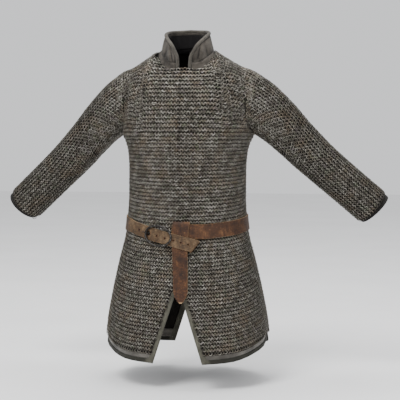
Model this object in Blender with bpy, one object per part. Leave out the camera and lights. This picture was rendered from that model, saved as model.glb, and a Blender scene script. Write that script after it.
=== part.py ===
"""Chainmail hauberk with a stand collar and its own belt, filled out with no wearer.

Metres, +Z up. +X is the wearer's left, -Y is the front. The origin is the centre of the neck base.
"""
import math

import bmesh
import bpy
import numpy as np

# Driving dimensions
SEAM_GAP = 0.0003
MAIL_WALL = 0.004
CLOTH_WALL = 0.0026
UNDER_TOP = MAIL_WALL + 0.0011
CHEST_Z = -0.224
SLIT_TOP_Z = -0.584
SLIT_HALF_WIDTH = 0.069
SLIT_END_Z = -0.834
BINDING_WIDTH = 0.012
HEM_CLOTH_WIDTH = 0.015
UNDER_LAP = 0.008
SLIT_LAP = 0.004

# Closed sections of the body below the arms: side_y is where the side seam runs
BODY_COLUMNS = ("height", "half_width", "side_y", "front_y", "back_y", "power")
BODY_SECTIONS = (
    (-0.224, 0.1830, 0.015, -0.124, 0.128, 2.30),
    (-0.246, 0.1715, 0.012, -0.125, 0.127, 2.30),
    (-0.275, 0.1640, 0.008, -0.125, 0.124, 2.30),
    (-0.320, 0.1610, 0.003, -0.123, 0.117, 2.30),
    (-0.390, 0.1610, -0.002, -0.119, 0.108, 2.30),
    (-0.440, 0.1635, -0.005, -0.118, 0.105, 2.30),
    (-0.487, 0.1685, -0.005, -0.121, 0.111, 2.25),
    (-0.570, 0.1890, -0.004, -0.136, 0.138, 2.20),
    (-0.660, 0.2090, -0.003, -0.152, 0.163, 2.20),
    (-0.740, 0.2230, -0.002, -0.163, 0.180, 2.20),
    (-0.840, 0.2320, -0.002, -0.171, 0.190, 2.20),
)

# Vertical folds of the skirt: place is the share of the way from centre front to centre back
# Each row: place, spread, depth, top, bottom
SKIRT_FOLDS = (
    (0.22, 0.050, 0.0045, -0.52, -0.80),
    (0.36, 0.045, -0.0035, -0.55, -0.82),
    (0.62, 0.050, 0.0045, -0.52, -0.82),
    (0.78, 0.050, -0.0040, -0.54, -0.82),
)

# Lower edge of the mail, from the slit to the side seam
HEM_COLUMNS = ("place", "height")
MAIL_HEM = ((0.0, -0.806), (0.45, -0.796), (0.8, -0.773), (1.0, -0.746))

# Neckline of the mail, by angle from centre front
NECK_COLUMNS = ("angle", "height", "lean")
NECK_HALF_WIDTH = 0.078
NECK_FRONT_Y = -0.068
NECK_BACK_Y = 0.064
NECK_SIDE_Y = 0.002
MAIL_NECK = (
    (0.0, -0.0490, 70.0),
    (22.0, -0.0480, 71.0),
    (45.0, -0.0370, 75.0),
    (70.0, -0.0130, 84.0),
    (90.0, 0.0010, 90.0),
    (120.0, 0.0080, 76.0),
    (150.0, 0.0110, 64.0),
    (180.0, 0.0120, 60.0),
)
NECK_SHARE = 0.5
YOKE_OPEN_ANGLE = 18.6
YOKE_LAP = 0.009

# Shoulder seam, from the neck to the tip of the shoulder
SHOULDER_COLUMNS = ("x", "y", "height")
SHOULDER_SEAM = (
    (0.078, 0.002, 0.0010),
    (0.110, 0.006, -0.0190),
    (0.150, 0.010, -0.0410),
    (0.180, 0.012, -0.0520),
    (0.195, 0.013, -0.0610),
)
SHOULDER_POWER = 2.5
ARMHOLE_REACH_FRONT = 0.070
ARMHOLE_REACH_BACK = 0.072
ARMHOLE_HOLLOW = 0.012
ARMHOLE_BLEND = 3.0

# Sleeve
CUFF_CENTRE = (0.502, 0.117, -0.428)
CUFF_UP = (0.726, 0.142, 0.673)
CUFF_RADIUS = 0.0545
SLEEVE_COLUMNS = ("along", "to_cuff", "girth", "lift")
SLEEVE_SECTIONS = (
    (0.00, 0.00, 1.00, 0.000),
    (0.12, 0.08, 1.02, 0.006),
    (0.25, 0.30, 1.03, 0.005),
    (0.40, 0.65, 1.02, 0.000),
    (0.60, 0.92, 1.00, -0.002),
    (0.80, 1.00, 1.00, -0.001),
    (1.00, 1.00, 1.00, 0.000),
)

# Stand collar, by angle from centre front; the roll runs along its top and front edges
COLLAR_WALL = 0.0045
COLLAR_HALF_WIDTH = 0.0720
COLLAR_FRONT_Y = -0.0635
COLLAR_BACK_Y = 0.0600
COLLAR_LEAN_IN = 0.24
COLLAR_OPEN_ANGLE = 19.6
ROLL_RADIUS = 0.0042
BASE_COLUMNS = ("angle", "height")
COLLAR_BASE = ((10.0, -0.0350), (30.0, -0.0310), (57.0, -0.0160), (90.0, 0.0030), (180.0, 0.0140))
ROLL_COLUMNS = ("angle", "height")
COLLAR_ROLL = (
    (13.6, -0.0480),
    (14.2, -0.0330),
    (16.0, -0.0180),
    (24.0, -0.0020),
    (37.0, 0.0160),
    (56.0, 0.0310),
    (75.0, 0.0420),
    (95.0, 0.0490),
    (125.0, 0.0550),
    (180.0, 0.0590),
)

# Belt: leather strap, its layers counted out from the mail
LEATHER = 0.0026
LAYER_MAIL = 0.0009
LAYER_STRAP = 0.0043
LAYER_WRAP = 0.0075
LAYER_OVER = 0.0107

# Waist run from the hidden end beside the ring round the back to the ring, by place
WAIST_COLUMNS = ("place", "top", "bottom", "layer")
WAIST_RUN = (
    (0.00, -0.4625, -0.5015, LAYER_STRAP),
    (0.27, -0.4618, -0.5008, LAYER_STRAP),
    (0.42, -0.4590, -0.4980, 0.0016),
    (0.60, -0.4545, -0.4935, LAYER_MAIL),
    (1.00, -0.4440, -0.4830, LAYER_MAIL),
    (1.50, -0.4400, -0.4790, LAYER_MAIL),
    (2.00, -0.4390, -0.4780, LAYER_MAIL),
    (2.50, -0.4400, -0.4785, LAYER_MAIL),
    (3.00, -0.4445, -0.4820, LAYER_MAIL),
    (3.34, -0.4530, -0.4885, LAYER_MAIL),
)
WAIST_STEPS = 76
STRAP_STEPS = 4

# Belt end through the ring to its fold, then up behind the strap, over it and down as the tail
# Each row: top x and z, bottom x and z, layer
END_RUN = (
    (-0.1265, -0.4585, -0.1262, -0.4930, LAYER_MAIL),
    (-0.1000, -0.4655, -0.1030, -0.5000, 0.0010),
    (-0.0800, -0.4710, -0.0860, -0.5050, 0.0034),
    (-0.0600, -0.4765, -0.0670, -0.5100, 0.0045),
    (-0.0400, -0.4815, -0.0480, -0.5145, 0.0070),
    (-0.0190, -0.4868, -0.0270, -0.5200, LAYER_OVER),
    (0.0050, -0.4930, -0.0060, -0.5260, LAYER_OVER),
    (0.0300, -0.4990, 0.0110, -0.5305, LAYER_OVER),
    (0.0480, -0.5040, 0.0250, -0.5338, 0.0096),
)
FOLD_TOP = (0.0503, -0.5051)
FOLD_BOTTOM = (0.0273, -0.5349)
BEHIND_RUN = (
    (0.0470, -0.4990, 0.0220, -0.5250, LAYER_MAIL),
    (0.0400, -0.4850, 0.0120, -0.5060, LAYER_MAIL),
    (0.0330, -0.4720, 0.0000, -0.4830, LAYER_MAIL),
    (0.0280, -0.4620, -0.0140, -0.4620, LAYER_MAIL),
)
WRAP_TOP = -0.4595
TAIL_RUN = (
    (0.0262, -0.4660, -0.0190, -0.4660, LAYER_WRAP),
    (0.0240, -0.4800, -0.0203, -0.4800, LAYER_WRAP),
    (0.0236, -0.5000, -0.0195, -0.5000, LAYER_WRAP),
    (0.0232, -0.5200, -0.0184, -0.5200, LAYER_WRAP),
    (0.0232, -0.5400, -0.0172, -0.5400, 0.0062),
    (0.0240, -0.5650, -0.0160, -0.5650, 0.0030),
    (0.0250, -0.6000, -0.0140, -0.6000, 0.0008),
    (0.0262, -0.6400, -0.0122, -0.6400, LAYER_MAIL),
    (0.0225, -0.6530, -0.0080, -0.6530, LAYER_MAIL),
    (0.0160, -0.6640, 0.0000, -0.6640, LAYER_MAIL),
    (0.0110, -0.6690, 0.0060, -0.6690, LAYER_MAIL),
)

# Holes in the belt end, and the ring and tongue of the buckle
HOLE_RADIUS = 0.0021
HOLE_XS = (-0.1125, -0.0602, -0.0370, -0.0141, 0.0055, 0.0241)
TONGUE_HOLE_X = -0.0848
HOLE_LINE_Z = -0.4880
HOLE_LINE_SLOPE = -0.262
RING_CENTRE = (-0.0555, -0.4945)
RING_LONG = 0.0362
RING_SHORT = 0.0268
RING_TILT = 14.0
WIRE_RADIUS = 0.0026
RING_LAYER_OUTER = 0.0080
RING_LAYER_INNER = 0.0172
# Each row of the tongue: x, layer, radius
TONGUE = (
    (-0.0520, 0.0020, 0.0012),
    (-0.0790, 0.0019, 0.0012),
    (-0.0825, 0.0032, 0.0012),
    (-0.0864, 0.0095, 0.0012),
    (-0.0885, 0.0126, 0.0012),
    (-0.0930, 0.0128, 0.0012),
    (-0.0985, 0.0114, 0.0007),
)

# Mesh counts
SIDE_STEPS = 12
SKIRT_ROWS = 9
BODY_ROWS = 10
YOKE_ROWS = 8
SLEEVE_ROWS = 12


def column(table, names, name):
    return np.array([row[names.index(name)] for row in table])


def smooth(table, names, key, name, at):
    """Read a column of a table at any place, with a smooth curve through its rows."""
    x = column(table, names, key)
    y = column(table, names, name)
    if x[0] > x[-1]:
        x = x[::-1]
        y = y[::-1]
    step = np.diff(x)
    slope = np.diff(y) / step
    tangent = np.zeros(len(x))
    tangent[0] = slope[0]
    tangent[-1] = slope[-1]
    for i in range(1, len(x) - 1):
        if slope[i - 1] * slope[i] > 0:
            tangent[i] = 2 * slope[i - 1] * slope[i] / (slope[i - 1] + slope[i])
    at = np.clip(np.asarray(at, float), x[0], x[-1])
    i = np.clip(np.searchsorted(x, at, side="right") - 1, 0, len(x) - 2)
    t = (at - x[i]) / step[i]
    rise = (2 * t**3 - 3 * t**2 + 1) * y[i] + (3 * t**2 - 2 * t**3) * y[i + 1]
    bend = (t**3 - 2 * t**2 + t) * tangent[i] + (t**3 - t**2) * tangent[i + 1]
    return rise + bend * step[i]


def body(name, height):
    return smooth(BODY_SECTIONS, BODY_COLUMNS, "height", name, height)


def fold_push(place, height):
    """How far the folds push the cloth out at a place, 0 at centre front to 2 at centre back."""
    push = 0.0
    for at, spread, depth, top, bottom in SKIRT_FOLDS:
        grow = min(max((top - height) / (top - bottom), 0.0), 1.0)
        push += depth * grow * grow * math.exp(-((place / 2 - at) / spread) ** 2)
    return push


def section_curve(height, back):
    """Quarter of the body's section at a height, from the centre line to the side seam."""
    turn = np.linspace(0.0, math.pi / 2, 61)
    power = 2.0 / body("power", height)
    end_y = body("back_y" if back else "front_y", height)
    side_y = body("side_y", height)
    x = body("half_width", height) * np.sin(turn) ** power
    y = side_y + (end_y - side_y) * np.cos(turn) ** power
    return np.column_stack([x, y])


def body_point(place, height):
    """Point of the wearer's left half: place is 0 at centre front, 1 at the side, 2 at centre back."""
    back = place > 1.0
    share = 2.0 - place if back else place
    curve = section_curve(height, back)
    run = np.concatenate([[0.0], np.cumsum(np.linalg.norm(np.diff(curve, axis=0), axis=1))])
    x = np.interp(share * run[-1], run, curve[:, 0])
    y = np.interp(share * run[-1], run, curve[:, 1])
    side_y = body("side_y", height)
    out = np.array([x, y - side_y])
    push = fold_push(place, height) * out / max(np.linalg.norm(out), 1e-9)
    return np.array([x + push[0] * min(1.0, share * 4), y + push[1], height])


def place_of_x(x, height, back):
    """Place along the section where the body is x from the centre line."""
    curve = section_curve(height, back)
    run = np.concatenate([[0.0], np.cumsum(np.linalg.norm(np.diff(curve, axis=0), axis=1))])
    share = np.interp(x, curve[:, 0], run) / run[-1]
    return 2.0 - share if back else share


def neck_point(angle):
    """Point of the mail's neckline, by angle from centre front."""
    turn = math.radians(angle)
    end_y = NECK_BACK_Y if angle > 90 else NECK_FRONT_Y
    x = NECK_HALF_WIDTH * math.sin(turn)
    y = NECK_SIDE_Y + (end_y - NECK_SIDE_Y) * abs(math.cos(turn))
    return np.array([x, y, float(smooth(MAIL_NECK, NECK_COLUMNS, "angle", "height", angle))])


def top_point(share, back):
    """Upper edge of a panel: neckline up to NECK_SHARE, then the shoulder seam."""
    if share <= NECK_SHARE:
        angle = 90.0 * share / NECK_SHARE
        angle = 180.0 - angle if back else angle
        lean = float(smooth(MAIL_NECK, NECK_COLUMNS, "angle", "lean", angle))
        return neck_point(angle), lean
    along = (share - NECK_SHARE) / (1 - NECK_SHARE)
    x = SHOULDER_SEAM[0][0] + along * (SHOULDER_SEAM[-1][0] - SHOULDER_SEAM[0][0])
    y = float(smooth(SHOULDER_SEAM, SHOULDER_COLUMNS, "x", "y", x))
    z = float(smooth(SHOULDER_SEAM, SHOULDER_COLUMNS, "x", "height", x))
    return np.array([x, y, z]), 90.0


def armhole_point(rise, back):
    """Front or back half of the armhole, from the armpit up to the shoulder tip."""
    pit = body_point(1.0, CHEST_Z)
    tip = np.array(SHOULDER_SEAM[-1])
    lift = (1 - math.cos(math.pi * rise)) / 2
    point = pit + (tip - pit) * lift
    bulge = math.sin(math.pi * rise)
    point[0] -= ARMHOLE_HOLLOW * bulge
    point[1] += (ARMHOLE_REACH_BACK if back else -ARMHOLE_REACH_FRONT) * bulge
    return point


def rounded_rise(start, end, lean, rise):
    """Point on a full curve that leaves start upright and reaches end at the given lean."""
    turn = math.radians(lean) * rise
    power = 2.0 / SHOULDER_POWER
    up = math.sin(turn) ** power / math.sin(math.radians(lean)) ** power
    last = max(math.cos(math.radians(lean)), 0.0) ** power
    over = (1 - max(math.cos(turn), 0.0) ** power) / (1 - last)
    x = start[0] + (end[0] - start[0]) * rise
    y = start[1] + (end[1] - start[1]) * over
    z = start[2] + (end[2] - start[2]) * up
    return np.array([x, y, z])


def upper_point(share, rise, back):
    """Point of a panel above the armpits: share 0 centre to 1 armhole, rise 0 chest to 1 top."""
    end, lean = top_point(share, back)
    start = body_point(2.0 - share if back else share, CHEST_Z)
    point = rounded_rise(start, end, lean, rise)
    pit = body_point(1.0, CHEST_Z)
    plain = rounded_rise(pit, np.array(SHOULDER_SEAM[-1]), 90.0, rise)
    return point + share**ARMHOLE_BLEND * (armhole_point(rise, back) - plain)


def mail_hem(place):
    share = 2.0 - place if place > 1.0 else place
    return float(smooth(MAIL_HEM, HEM_COLUMNS, "place", "height", share))


def slit_half_width(height):
    """Half width of the slit in the mail, its binding not counted."""
    down = (SLIT_TOP_Z - height) / (SLIT_TOP_Z - SLIT_END_Z)
    return max(0.0, (SLIT_HALF_WIDTH + BINDING_WIDTH) * down)


def panel_grid(back):
    """Rows of points of half a panel, hem to top, each from the centre or slit to the side."""
    rows = []
    for i in range(SKIRT_ROWS):
        down = 1 - i / SKIRT_ROWS
        row = []
        for j in range(SIDE_STEPS + 1):
            share = j / SIDE_STEPS
            height = SLIT_TOP_Z + (mail_hem(share) - SLIT_TOP_Z) * down
            edge = place_of_x(slit_half_width(height), height, False)
            share = edge + (1 - edge) * share
            row.append(body_point(2.0 - share if back else share, height))
        rows.append(row)
    for i in range(BODY_ROWS):
        height = SLIT_TOP_Z + (CHEST_Z - SLIT_TOP_Z) * i / BODY_ROWS
        places = [j / SIDE_STEPS for j in range(SIDE_STEPS + 1)]
        rows.append([body_point(2.0 - p if back else p, height) for p in places])
    for i in range(YOKE_ROWS + 1):
        rise = i / YOKE_ROWS
        rows.append([upper_point(j / SIDE_STEPS, rise, back) for j in range(SIDE_STEPS + 1)])
    return np.array(rows)


def sleeve_grid():
    """Rings of the left sleeve from the armhole to the cuff, starting at the shoulder tip."""
    rises = [1 - i / YOKE_ROWS for i in range(YOKE_ROWS)]
    start = [armhole_point(r, False) for r in rises]
    start += [armhole_point(1 - r, True) for r in rises]
    start = np.array(start)
    centre = start.mean(axis=0)
    cuff = np.array(CUFF_CENTRE)
    axis = cuff - centre
    length = np.linalg.norm(axis)
    axis = axis / length
    up = np.array(CUFF_UP)
    up = up - axis * up.dot(axis)
    up = up / np.linalg.norm(up)
    side = np.cross(axis, up)
    count = len(start)
    turns = [2 * math.pi * i / count for i in range(count)]
    flip = 1.0 if side[1] < 0 else -1.0
    ring = [cuff + CUFF_RADIUS * (math.cos(a) * up + flip * math.sin(a) * side) for a in turns]
    ring = np.array(ring)
    grid = []
    for i in range(SLEEVE_ROWS + 1):
        along = i / SLEEVE_ROWS
        mix = float(smooth(SLEEVE_SECTIONS, SLEEVE_COLUMNS, "along", "to_cuff", along))
        girth = float(smooth(SLEEVE_SECTIONS, SLEEVE_COLUMNS, "along", "girth", along))
        lift = float(smooth(SLEEVE_SECTIONS, SLEEVE_COLUMNS, "along", "lift", along))
        near = start + axis * length * along
        far = ring - axis * length * (1 - along)
        points = near * (1 - mix) + far * mix
        middle = points.mean(axis=0)
        grid.append(middle + (points - middle) * girth + up * lift)
    return np.array(grid)


def weld_normals(grids):
    """Normals of point grids that share edges, averaged where their points meet."""
    total = {}
    keys = []
    for grid, faces in grids:
        flat = grid.reshape(-1, 3)
        key = [tuple(np.round(p / 2e-5).astype(int)) for p in flat]
        keys.append(key)
        for face in faces:
            a, b, c, d = [flat[i] for i in face]
            normal = np.cross(c - a, d - b)
            for i in face:
                total[key[i]] = total.get(key[i], 0) + normal
    out = []
    for (grid, faces), key in zip(grids, keys):
        flat = np.array([total[k] / max(np.linalg.norm(total[k]), 1e-12) for k in key])
        out.append(flat.reshape(grid.shape))
    return out


def grid_faces(rows, columns, closed=False, flip=False):
    faces = []
    for i in range(rows - 1):
        for j in range(columns if closed else columns - 1):
            k = (j + 1) % columns
            face = (i * columns + j, i * columns + k, (i + 1) * columns + k, (i + 1) * columns + j)
            faces.append(face[::-1] if flip else face)
    return faces


def mirror(points):
    return points * np.array([-1.0, 1.0, 1.0])


def make_object(name, points, faces, material, smooth_faces=True):
    mesh = bpy.data.meshes.new(name)
    mesh.from_pydata([tuple(p) for p in points], [], faces)
    mesh.validate()
    work = bmesh.new()
    work.from_mesh(mesh)
    bmesh.ops.triangulate(work, faces=work.faces, quad_method="BEAUTY")
    bmesh.ops.recalc_face_normals(work, faces=work.faces)
    if work.calc_volume(signed=True) < 0:
        bmesh.ops.reverse_faces(work, faces=work.faces)
    work.to_mesh(mesh)
    work.free()
    mesh.materials.append(material)
    if smooth_faces:
        mesh.shade_smooth()
    thing = bpy.data.objects.new(name, mesh)
    bpy.context.scene.collection.objects.link(thing)
    return thing


def thicken(outer, inner, faces):
    """Closed wall between two copies of a sheet of faces."""
    count = len(outer)
    solid = list(faces)
    solid += [tuple(i + count for i in face[::-1]) for face in faces]
    edges = {}
    for face in faces:
        for a, b in zip(face, face[1:] + face[:1]):
            edges[(a, b)] = True
    for a, b in edges:
        if (b, a) not in edges:
            solid.append((b, a, a + count, b + count))
    points = np.vstack([outer, inner])
    used = sorted({i for face in solid for i in face})
    place = {old: new for new, old in enumerate(used)}
    return points[used], [tuple(place[i] for i in face) for face in solid]


def wall_object(name, outer, normal, faces, near, far, material):
    """Wall whose outer side lies near inside the given sheet, and inner side far inside it."""
    points, solid = thicken(outer - normal * near, outer - normal * far, faces)
    return make_object(name, points, solid, material)


def inset(grid, top=True, side=True, bottom=False, closed=False, amount=SEAM_GAP):
    """Draw a grid's seam edges in by an amount, the seam gap unless another is given."""
    out = grid.copy()
    if side and not closed:
        step = grid[:, -2] - grid[:, -1]
        out[:, -1] += amount * step / np.linalg.norm(step, axis=1)[:, None]
    if top:
        step = out[-2] - out[-1]
        out[-1] += amount * step / np.linalg.norm(step, axis=1)[:, None]
    if bottom:
        step = out[1] - out[0]
        out[0] += amount * step / np.linalg.norm(step, axis=1)[:, None]
    return out


def split_panel(half, slit_rows):
    """Left half and its mirror joined on the centre line above the slit."""
    rows, columns, _ = half.shape
    left = half.reshape(-1, 3)
    right = mirror(left)
    faces = grid_faces(rows, columns)
    count = len(left)
    twin = {}
    for i in range(rows):
        for j in range(columns):
            index = i * columns + j
            twin[index] = index if (j == 0 and i >= slit_rows) else index + count
    faces += [tuple(twin[i] for i in face[::-1]) for face in faces]
    points = np.vstack([left, right])
    return points, faces


def build_mail(material):
    front = panel_grid(False)
    back = panel_grid(True)
    sleeve = sleeve_grid()
    shape = front.shape[:2]
    sheet = grid_faces(*shape)
    ring = grid_faces(sleeve.shape[0], sleeve.shape[1], closed=True)
    mirrored = [(mirror(front), [f[::-1] for f in sheet]), (mirror(back), sheet)]
    grids = [(front, sheet), (back, [f[::-1] for f in sheet]), (sleeve, ring)] + mirrored
    normals = weld_normals(grids)
    made = {}
    for name, half, normal in (("mail_front", front, normals[0]), ("mail_back", back, normals[1])):
        for part in (half, normal):
            part[SKIRT_ROWS:, 0, 0] = 0.0
        half = inset(half)
        points, faces = split_panel(half, SKIRT_ROWS)
        directions, _ = split_panel(normal, SKIRT_ROWS)
        wall_object(name, points, directions, faces, 0.0, MAIL_WALL, material(name))
        made[name] = (half, normal)
    sleeve_out = inset(sleeve, top=False, side=False, bottom=True, closed=True, amount=5 * SEAM_GAP)
    made["sleeve"] = (sleeve_out, normals[2])
    for name, flip in (("mail_sleeve_left", False), ("mail_sleeve_right", True)):
        points = sleeve_out.reshape(-1, 3)
        directions = normals[2].reshape(-1, 3)
        if flip:
            points = mirror(points)
            directions = mirror(directions)
        wall_object(name, points, directions, ring, 0.0, MAIL_WALL, material(name))
    return made


def body_normal(place, height):
    """Outward direction of the body at a place, from the slope of its sections."""
    low = max(place - 0.02, 0.0)
    high = min(place + 0.02, 2.0)
    along = body_point(high, height) - body_point(low, height)
    up = body_point(place, height + 0.004) - body_point(place, height - 0.004)
    normal = np.cross(along, up)
    return normal / np.linalg.norm(normal)


def on_body(place, height, out):
    """Point out from the body; a place below 0 or above 2 lies on the wearer's right."""
    turn = (place + 2.0) % 4.0 - 2.0
    point = body_point(abs(turn), height) + out * body_normal(abs(turn), height)
    return point if turn >= 0 else mirror(point)


def on_front(x, height, out):
    place = float(place_of_x(abs(x), height, False))
    return on_body(math.copysign(place, x), height, out)


def sheet_between(first_edge, last_edge, steps, back):
    """Grid of body points and normals between two lists of (place, height) edge points."""
    points = []
    normals = []
    for i in range(steps + 1):
        mix = i / steps
        row = [(a[0] + (b[0] - a[0]) * mix, a[1] + (b[1] - a[1]) * mix)
               for a, b in zip(first_edge, last_edge)]
        row = [(2.0 - p if back else p, h) for p, h in row]
        points.append([body_point(p, h) for p, h in row])
        normals.append([body_normal(p, h) for p, h in row])
    return np.array(points), np.array(normals)


def hem_edges():
    """Edges of the hem cloth and of the binding, as (place, height), from slit to side seam."""
    far = 1.0 - 0.0012
    cloth_top = []
    cloth_low = []
    bind_in = []
    bind_out = []
    start = 0.2
    for i in range(6):
        corner = mail_hem(start) - HEM_CLOTH_WIDTH
        start = float(place_of_x(slit_half_width(corner) + SLIT_LAP, corner, False))
    for i in range(9):
        down = i / 8
        height = SLIT_TOP_Z + 0.006 + (corner - SEAM_GAP - SLIT_TOP_Z - 0.006) * down
        mail = slit_half_width(height)
        bind_in.append((float(place_of_x(mail + SLIT_LAP, height, False)), height))
        low = height - BINDING_WIDTH * down**4
        edge = max(slit_half_width(low) - BINDING_WIDTH, SEAM_GAP)
        bind_out.append((float(place_of_x(edge, low, False)), low))
    for i in range(11):
        place = start + (far - start) * i / 10
        height = mail_hem(place)
        line = height - HEM_CLOTH_WIDTH
        cloth_top.append((place, height + UNDER_LAP))
        cloth_low.append((place, line))
        if i > 0:
            bind_in.append((place, line - 2 * SEAM_GAP))
            bind_out.append((place, line - BINDING_WIDTH))
    slit_side = slit_half_width(cloth_top[0][1]) + SLIT_LAP + 0.001
    top_edge = float(place_of_x(slit_side, cloth_top[0][1], False))
    cloth_top[0] = (top_edge, cloth_top[0][1])
    cloth_low[0] = (start + 0.004, cloth_low[0][1])
    return cloth_top, cloth_low, bind_in, bind_out


def build_hems(material):
    cloth_top, cloth_low, bind_in, bind_out = hem_edges()
    for back, side in ((False, "front"), (True, "back")):
        cloth, cloth_normal = sheet_between(cloth_low, cloth_top, 2, back)
        band, band_normal = sheet_between(bind_out, bind_in, 2, back)
        pieces = (("hem_cloth", cloth, cloth_normal, UNDER_TOP, CLOTH_WALL),
                  ("hem_binding", band, band_normal, UNDER_TOP - 0.0002, CLOTH_WALL + 0.0008))
        for kind, grid, normal, near, wall in pieces:
            faces = grid_faces(*grid.shape[:2])
            for hand in ("left", "right"):
                points = grid.reshape(-1, 3)
                directions = normal.reshape(-1, 3)
                if hand == "right":
                    points = mirror(points)
                    directions = mirror(directions)
                name = kind + "_" + side + "_" + hand
                wall_object(name, points, directions, faces, near, near + wall, material(name))


def build_cuffs(material, sleeve):
    """Ends of the arming sleeves, inside the mail and a little past it."""
    grid, normal = sleeve
    axis = grid[-1].mean(axis=0) - grid[-2].mean(axis=0)
    axis = axis / np.linalg.norm(axis)
    count = grid.shape[1]
    reach = np.array([0.0065 + 0.0035 * math.cos(2 * math.pi * i / count) for i in range(count)])
    rows = [grid[-1] - axis * 0.012, grid[-1] - axis * 0.0, grid[-1] + axis * reach[:, None]]
    rows = np.array(rows)
    outward = rows - rows.mean(axis=1)[:, None, :]
    outward = outward - (outward @ axis)[:, :, None] * axis
    outward = outward / np.linalg.norm(outward, axis=2)[:, :, None]
    faces = grid_faces(3, count, closed=True)
    for hand in ("left", "right"):
        points = rows.reshape(-1, 3)
        directions = outward.reshape(-1, 3)
        if hand == "right":
            points = mirror(points)
            directions = mirror(directions)
        name = "cuff_" + hand
        near = MAIL_WALL + 0.0007
        wall_object(name, points, directions, faces, near, near + CLOTH_WALL, material(name))


def collar_point(angle, height):
    """Point of the collar's outer face, which leans in as it rises."""
    turn = math.radians(angle)
    base = float(smooth(COLLAR_BASE, BASE_COLUMNS, "angle", "height", angle))
    lean = COLLAR_LEAN_IN * max(height - base, -0.004)
    end_y = COLLAR_BACK_Y if angle > 90 else COLLAR_FRONT_Y
    half = COLLAR_HALF_WIDTH - lean
    x = half * math.sin(turn)
    shrink = 1 - 0.45 * lean / COLLAR_HALF_WIDTH
    return np.array([x, end_y * abs(math.cos(turn)) * shrink, height])


def roll_height(angle):
    return float(smooth(COLLAR_ROLL, ROLL_COLUMNS, "angle", "height", min(angle, 360.0 - angle)))


def both_sides(rows):
    """Rows from the front round one side to centre back, carried on round the other side."""
    rows = np.array(rows)
    return np.concatenate([rows, mirror(rows[:, -2::-1])], axis=1)


def sheet_normals(grid):
    across = np.gradient(grid, axis=1)
    along = np.gradient(grid, axis=0)
    normal = np.cross(across, along)
    return normal / np.linalg.norm(normal, axis=2)[:, :, None]


def tube(path, radius, sides=10, flatten=1.0, out=None):
    """Closed-ended tube along a path; radius is one value or one a point."""
    path = np.array(path)
    radius = np.broadcast_to(radius, len(path))
    points = []
    for i, centre in enumerate(path):
        step = path[min(i + 1, len(path) - 1)] - path[max(i - 1, 0)]
        step = step / np.linalg.norm(step)
        side = np.cross(step, out[i] if out is not None else (0.3, -0.9, 0.2))
        side = side / np.linalg.norm(side)
        up = np.cross(side, step)
        for k in range(sides):
            turn = 2 * math.pi * k / sides
            flat = side * math.cos(turn) + up * math.sin(turn) * flatten
            points.append(centre + radius[i] * flat)
    faces = grid_faces(len(path), sides, closed=True)
    faces.append(tuple(range(sides))[::-1])
    faces.append(tuple((len(path) - 1) * sides + k for k in range(sides)))
    return np.array(points), faces


def build_collar(material):
    angles = [COLLAR_OPEN_ANGLE, 21.5, 24.0, 28.0, 33.0, 40.0, 48.0, 58.0, 70.0, 82.0, 95.0, 110.0, 125.0,
              145.0, 165.0, 180.0]
    rows = []
    for i in range(4):
        row = []
        for angle in angles:
            base = float(smooth(COLLAR_BASE, BASE_COLUMNS, "angle", "height", angle))
            top = roll_height(angle)
            slope = (roll_height(angle + 1.5) - roll_height(angle - 1.5)) / (math.radians(3.0) * 0.066)
            top = top - (ROLL_RADIUS + 3 * SEAM_GAP) * math.hypot(1.0, slope)
            row.append(collar_point(angle, base + (top - base) * i / 3))
        rows.append(row)
    grid = both_sides(rows)
    normal = sheet_normals(grid)
    faces = grid_faces(*grid.shape[:2])
    flat = grid.reshape(-1, 3)
    wall_object("collar_stand", flat, normal.reshape(-1, 3), faces, 0.0, COLLAR_WALL,
                material("collar_stand"))
    marks = [13.6, 13.8, 14.4, 16.0, 19.0, 24.0, 30.0, 37.0, 46.0, 56.0, 66.0, 75.0, 85.0, 95.0,
             110.0, 125.0, 150.0, 180.0]
    half = []
    for i, angle in enumerate(marks):
        point = collar_point(angle, roll_height(angle))
        away = np.array([point[0], point[1], 0.0])
        half.append(point - away / np.linalg.norm(away) * COLLAR_WALL / 2)
    half = np.array(half)
    path = np.concatenate([half, mirror(half[-2::-1])])
    away = path * [1, 1, 0]
    points, faces = tube(path, ROLL_RADIUS, sides=8, out=away)
    make_object("collar_roll", points, faces, material("collar_roll"))


def build_yoke(material, made):
    """Cloth between the collar seam and the mail, lapped under the mail's neckline."""
    neck_columns = int(round(NECK_SHARE * SIDE_STEPS))
    step = 90.0 / neck_columns
    rows = [[], [], []]
    marks = [YOKE_OPEN_ANGLE / step] + [float(j) for j in range(2, 2 * neck_columns + 1)]
    for mark in marks:
        back = mark > neck_columns
        grid, normal = made["mail_back" if back else "mail_front"]
        column_at = 2 * neck_columns - mark if back else mark
        j = int(column_at)
        mix = column_at - j
        edge = grid[-1, j] * (1 - mix) + grid[-1, j + 1] * mix
        below = grid[-2, j] * (1 - mix) + grid[-2, j + 1] * mix
        up = normal[-1, j] * (1 - mix) + normal[-1, j + 1] * mix
        up = up / np.linalg.norm(up)
        up_below = normal[-2, j] * (1 - mix) + normal[-2, j + 1] * mix
        lap = YOKE_LAP / np.linalg.norm(below - edge)
        under = edge + (below - edge) * lap
        up_under = up * (1 - lap) + up_below * lap
        angle = mark * step
        seam = float(smooth(COLLAR_BASE, BASE_COLUMNS, "angle", "height", angle))
        deep = UNDER_TOP + 0.0026 * math.exp(-((mark - neck_columns) / 1.4) ** 2)
        rows[0].append(under - up_under * deep)
        rows[1].append(edge - up * deep)
        rows[2].append(collar_point(angle, seam) - np.array([0.0, 0.0, 3 * SEAM_GAP]))
    grid = both_sides(rows)
    normal = sheet_normals(grid)
    faces = grid_faces(*grid.shape[:2])
    flat = grid.reshape(-1, 3)
    wall_object("neck_yoke", flat, normal.reshape(-1, 3), faces, 0.0, CLOTH_WALL, material("neck_yoke"))


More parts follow.
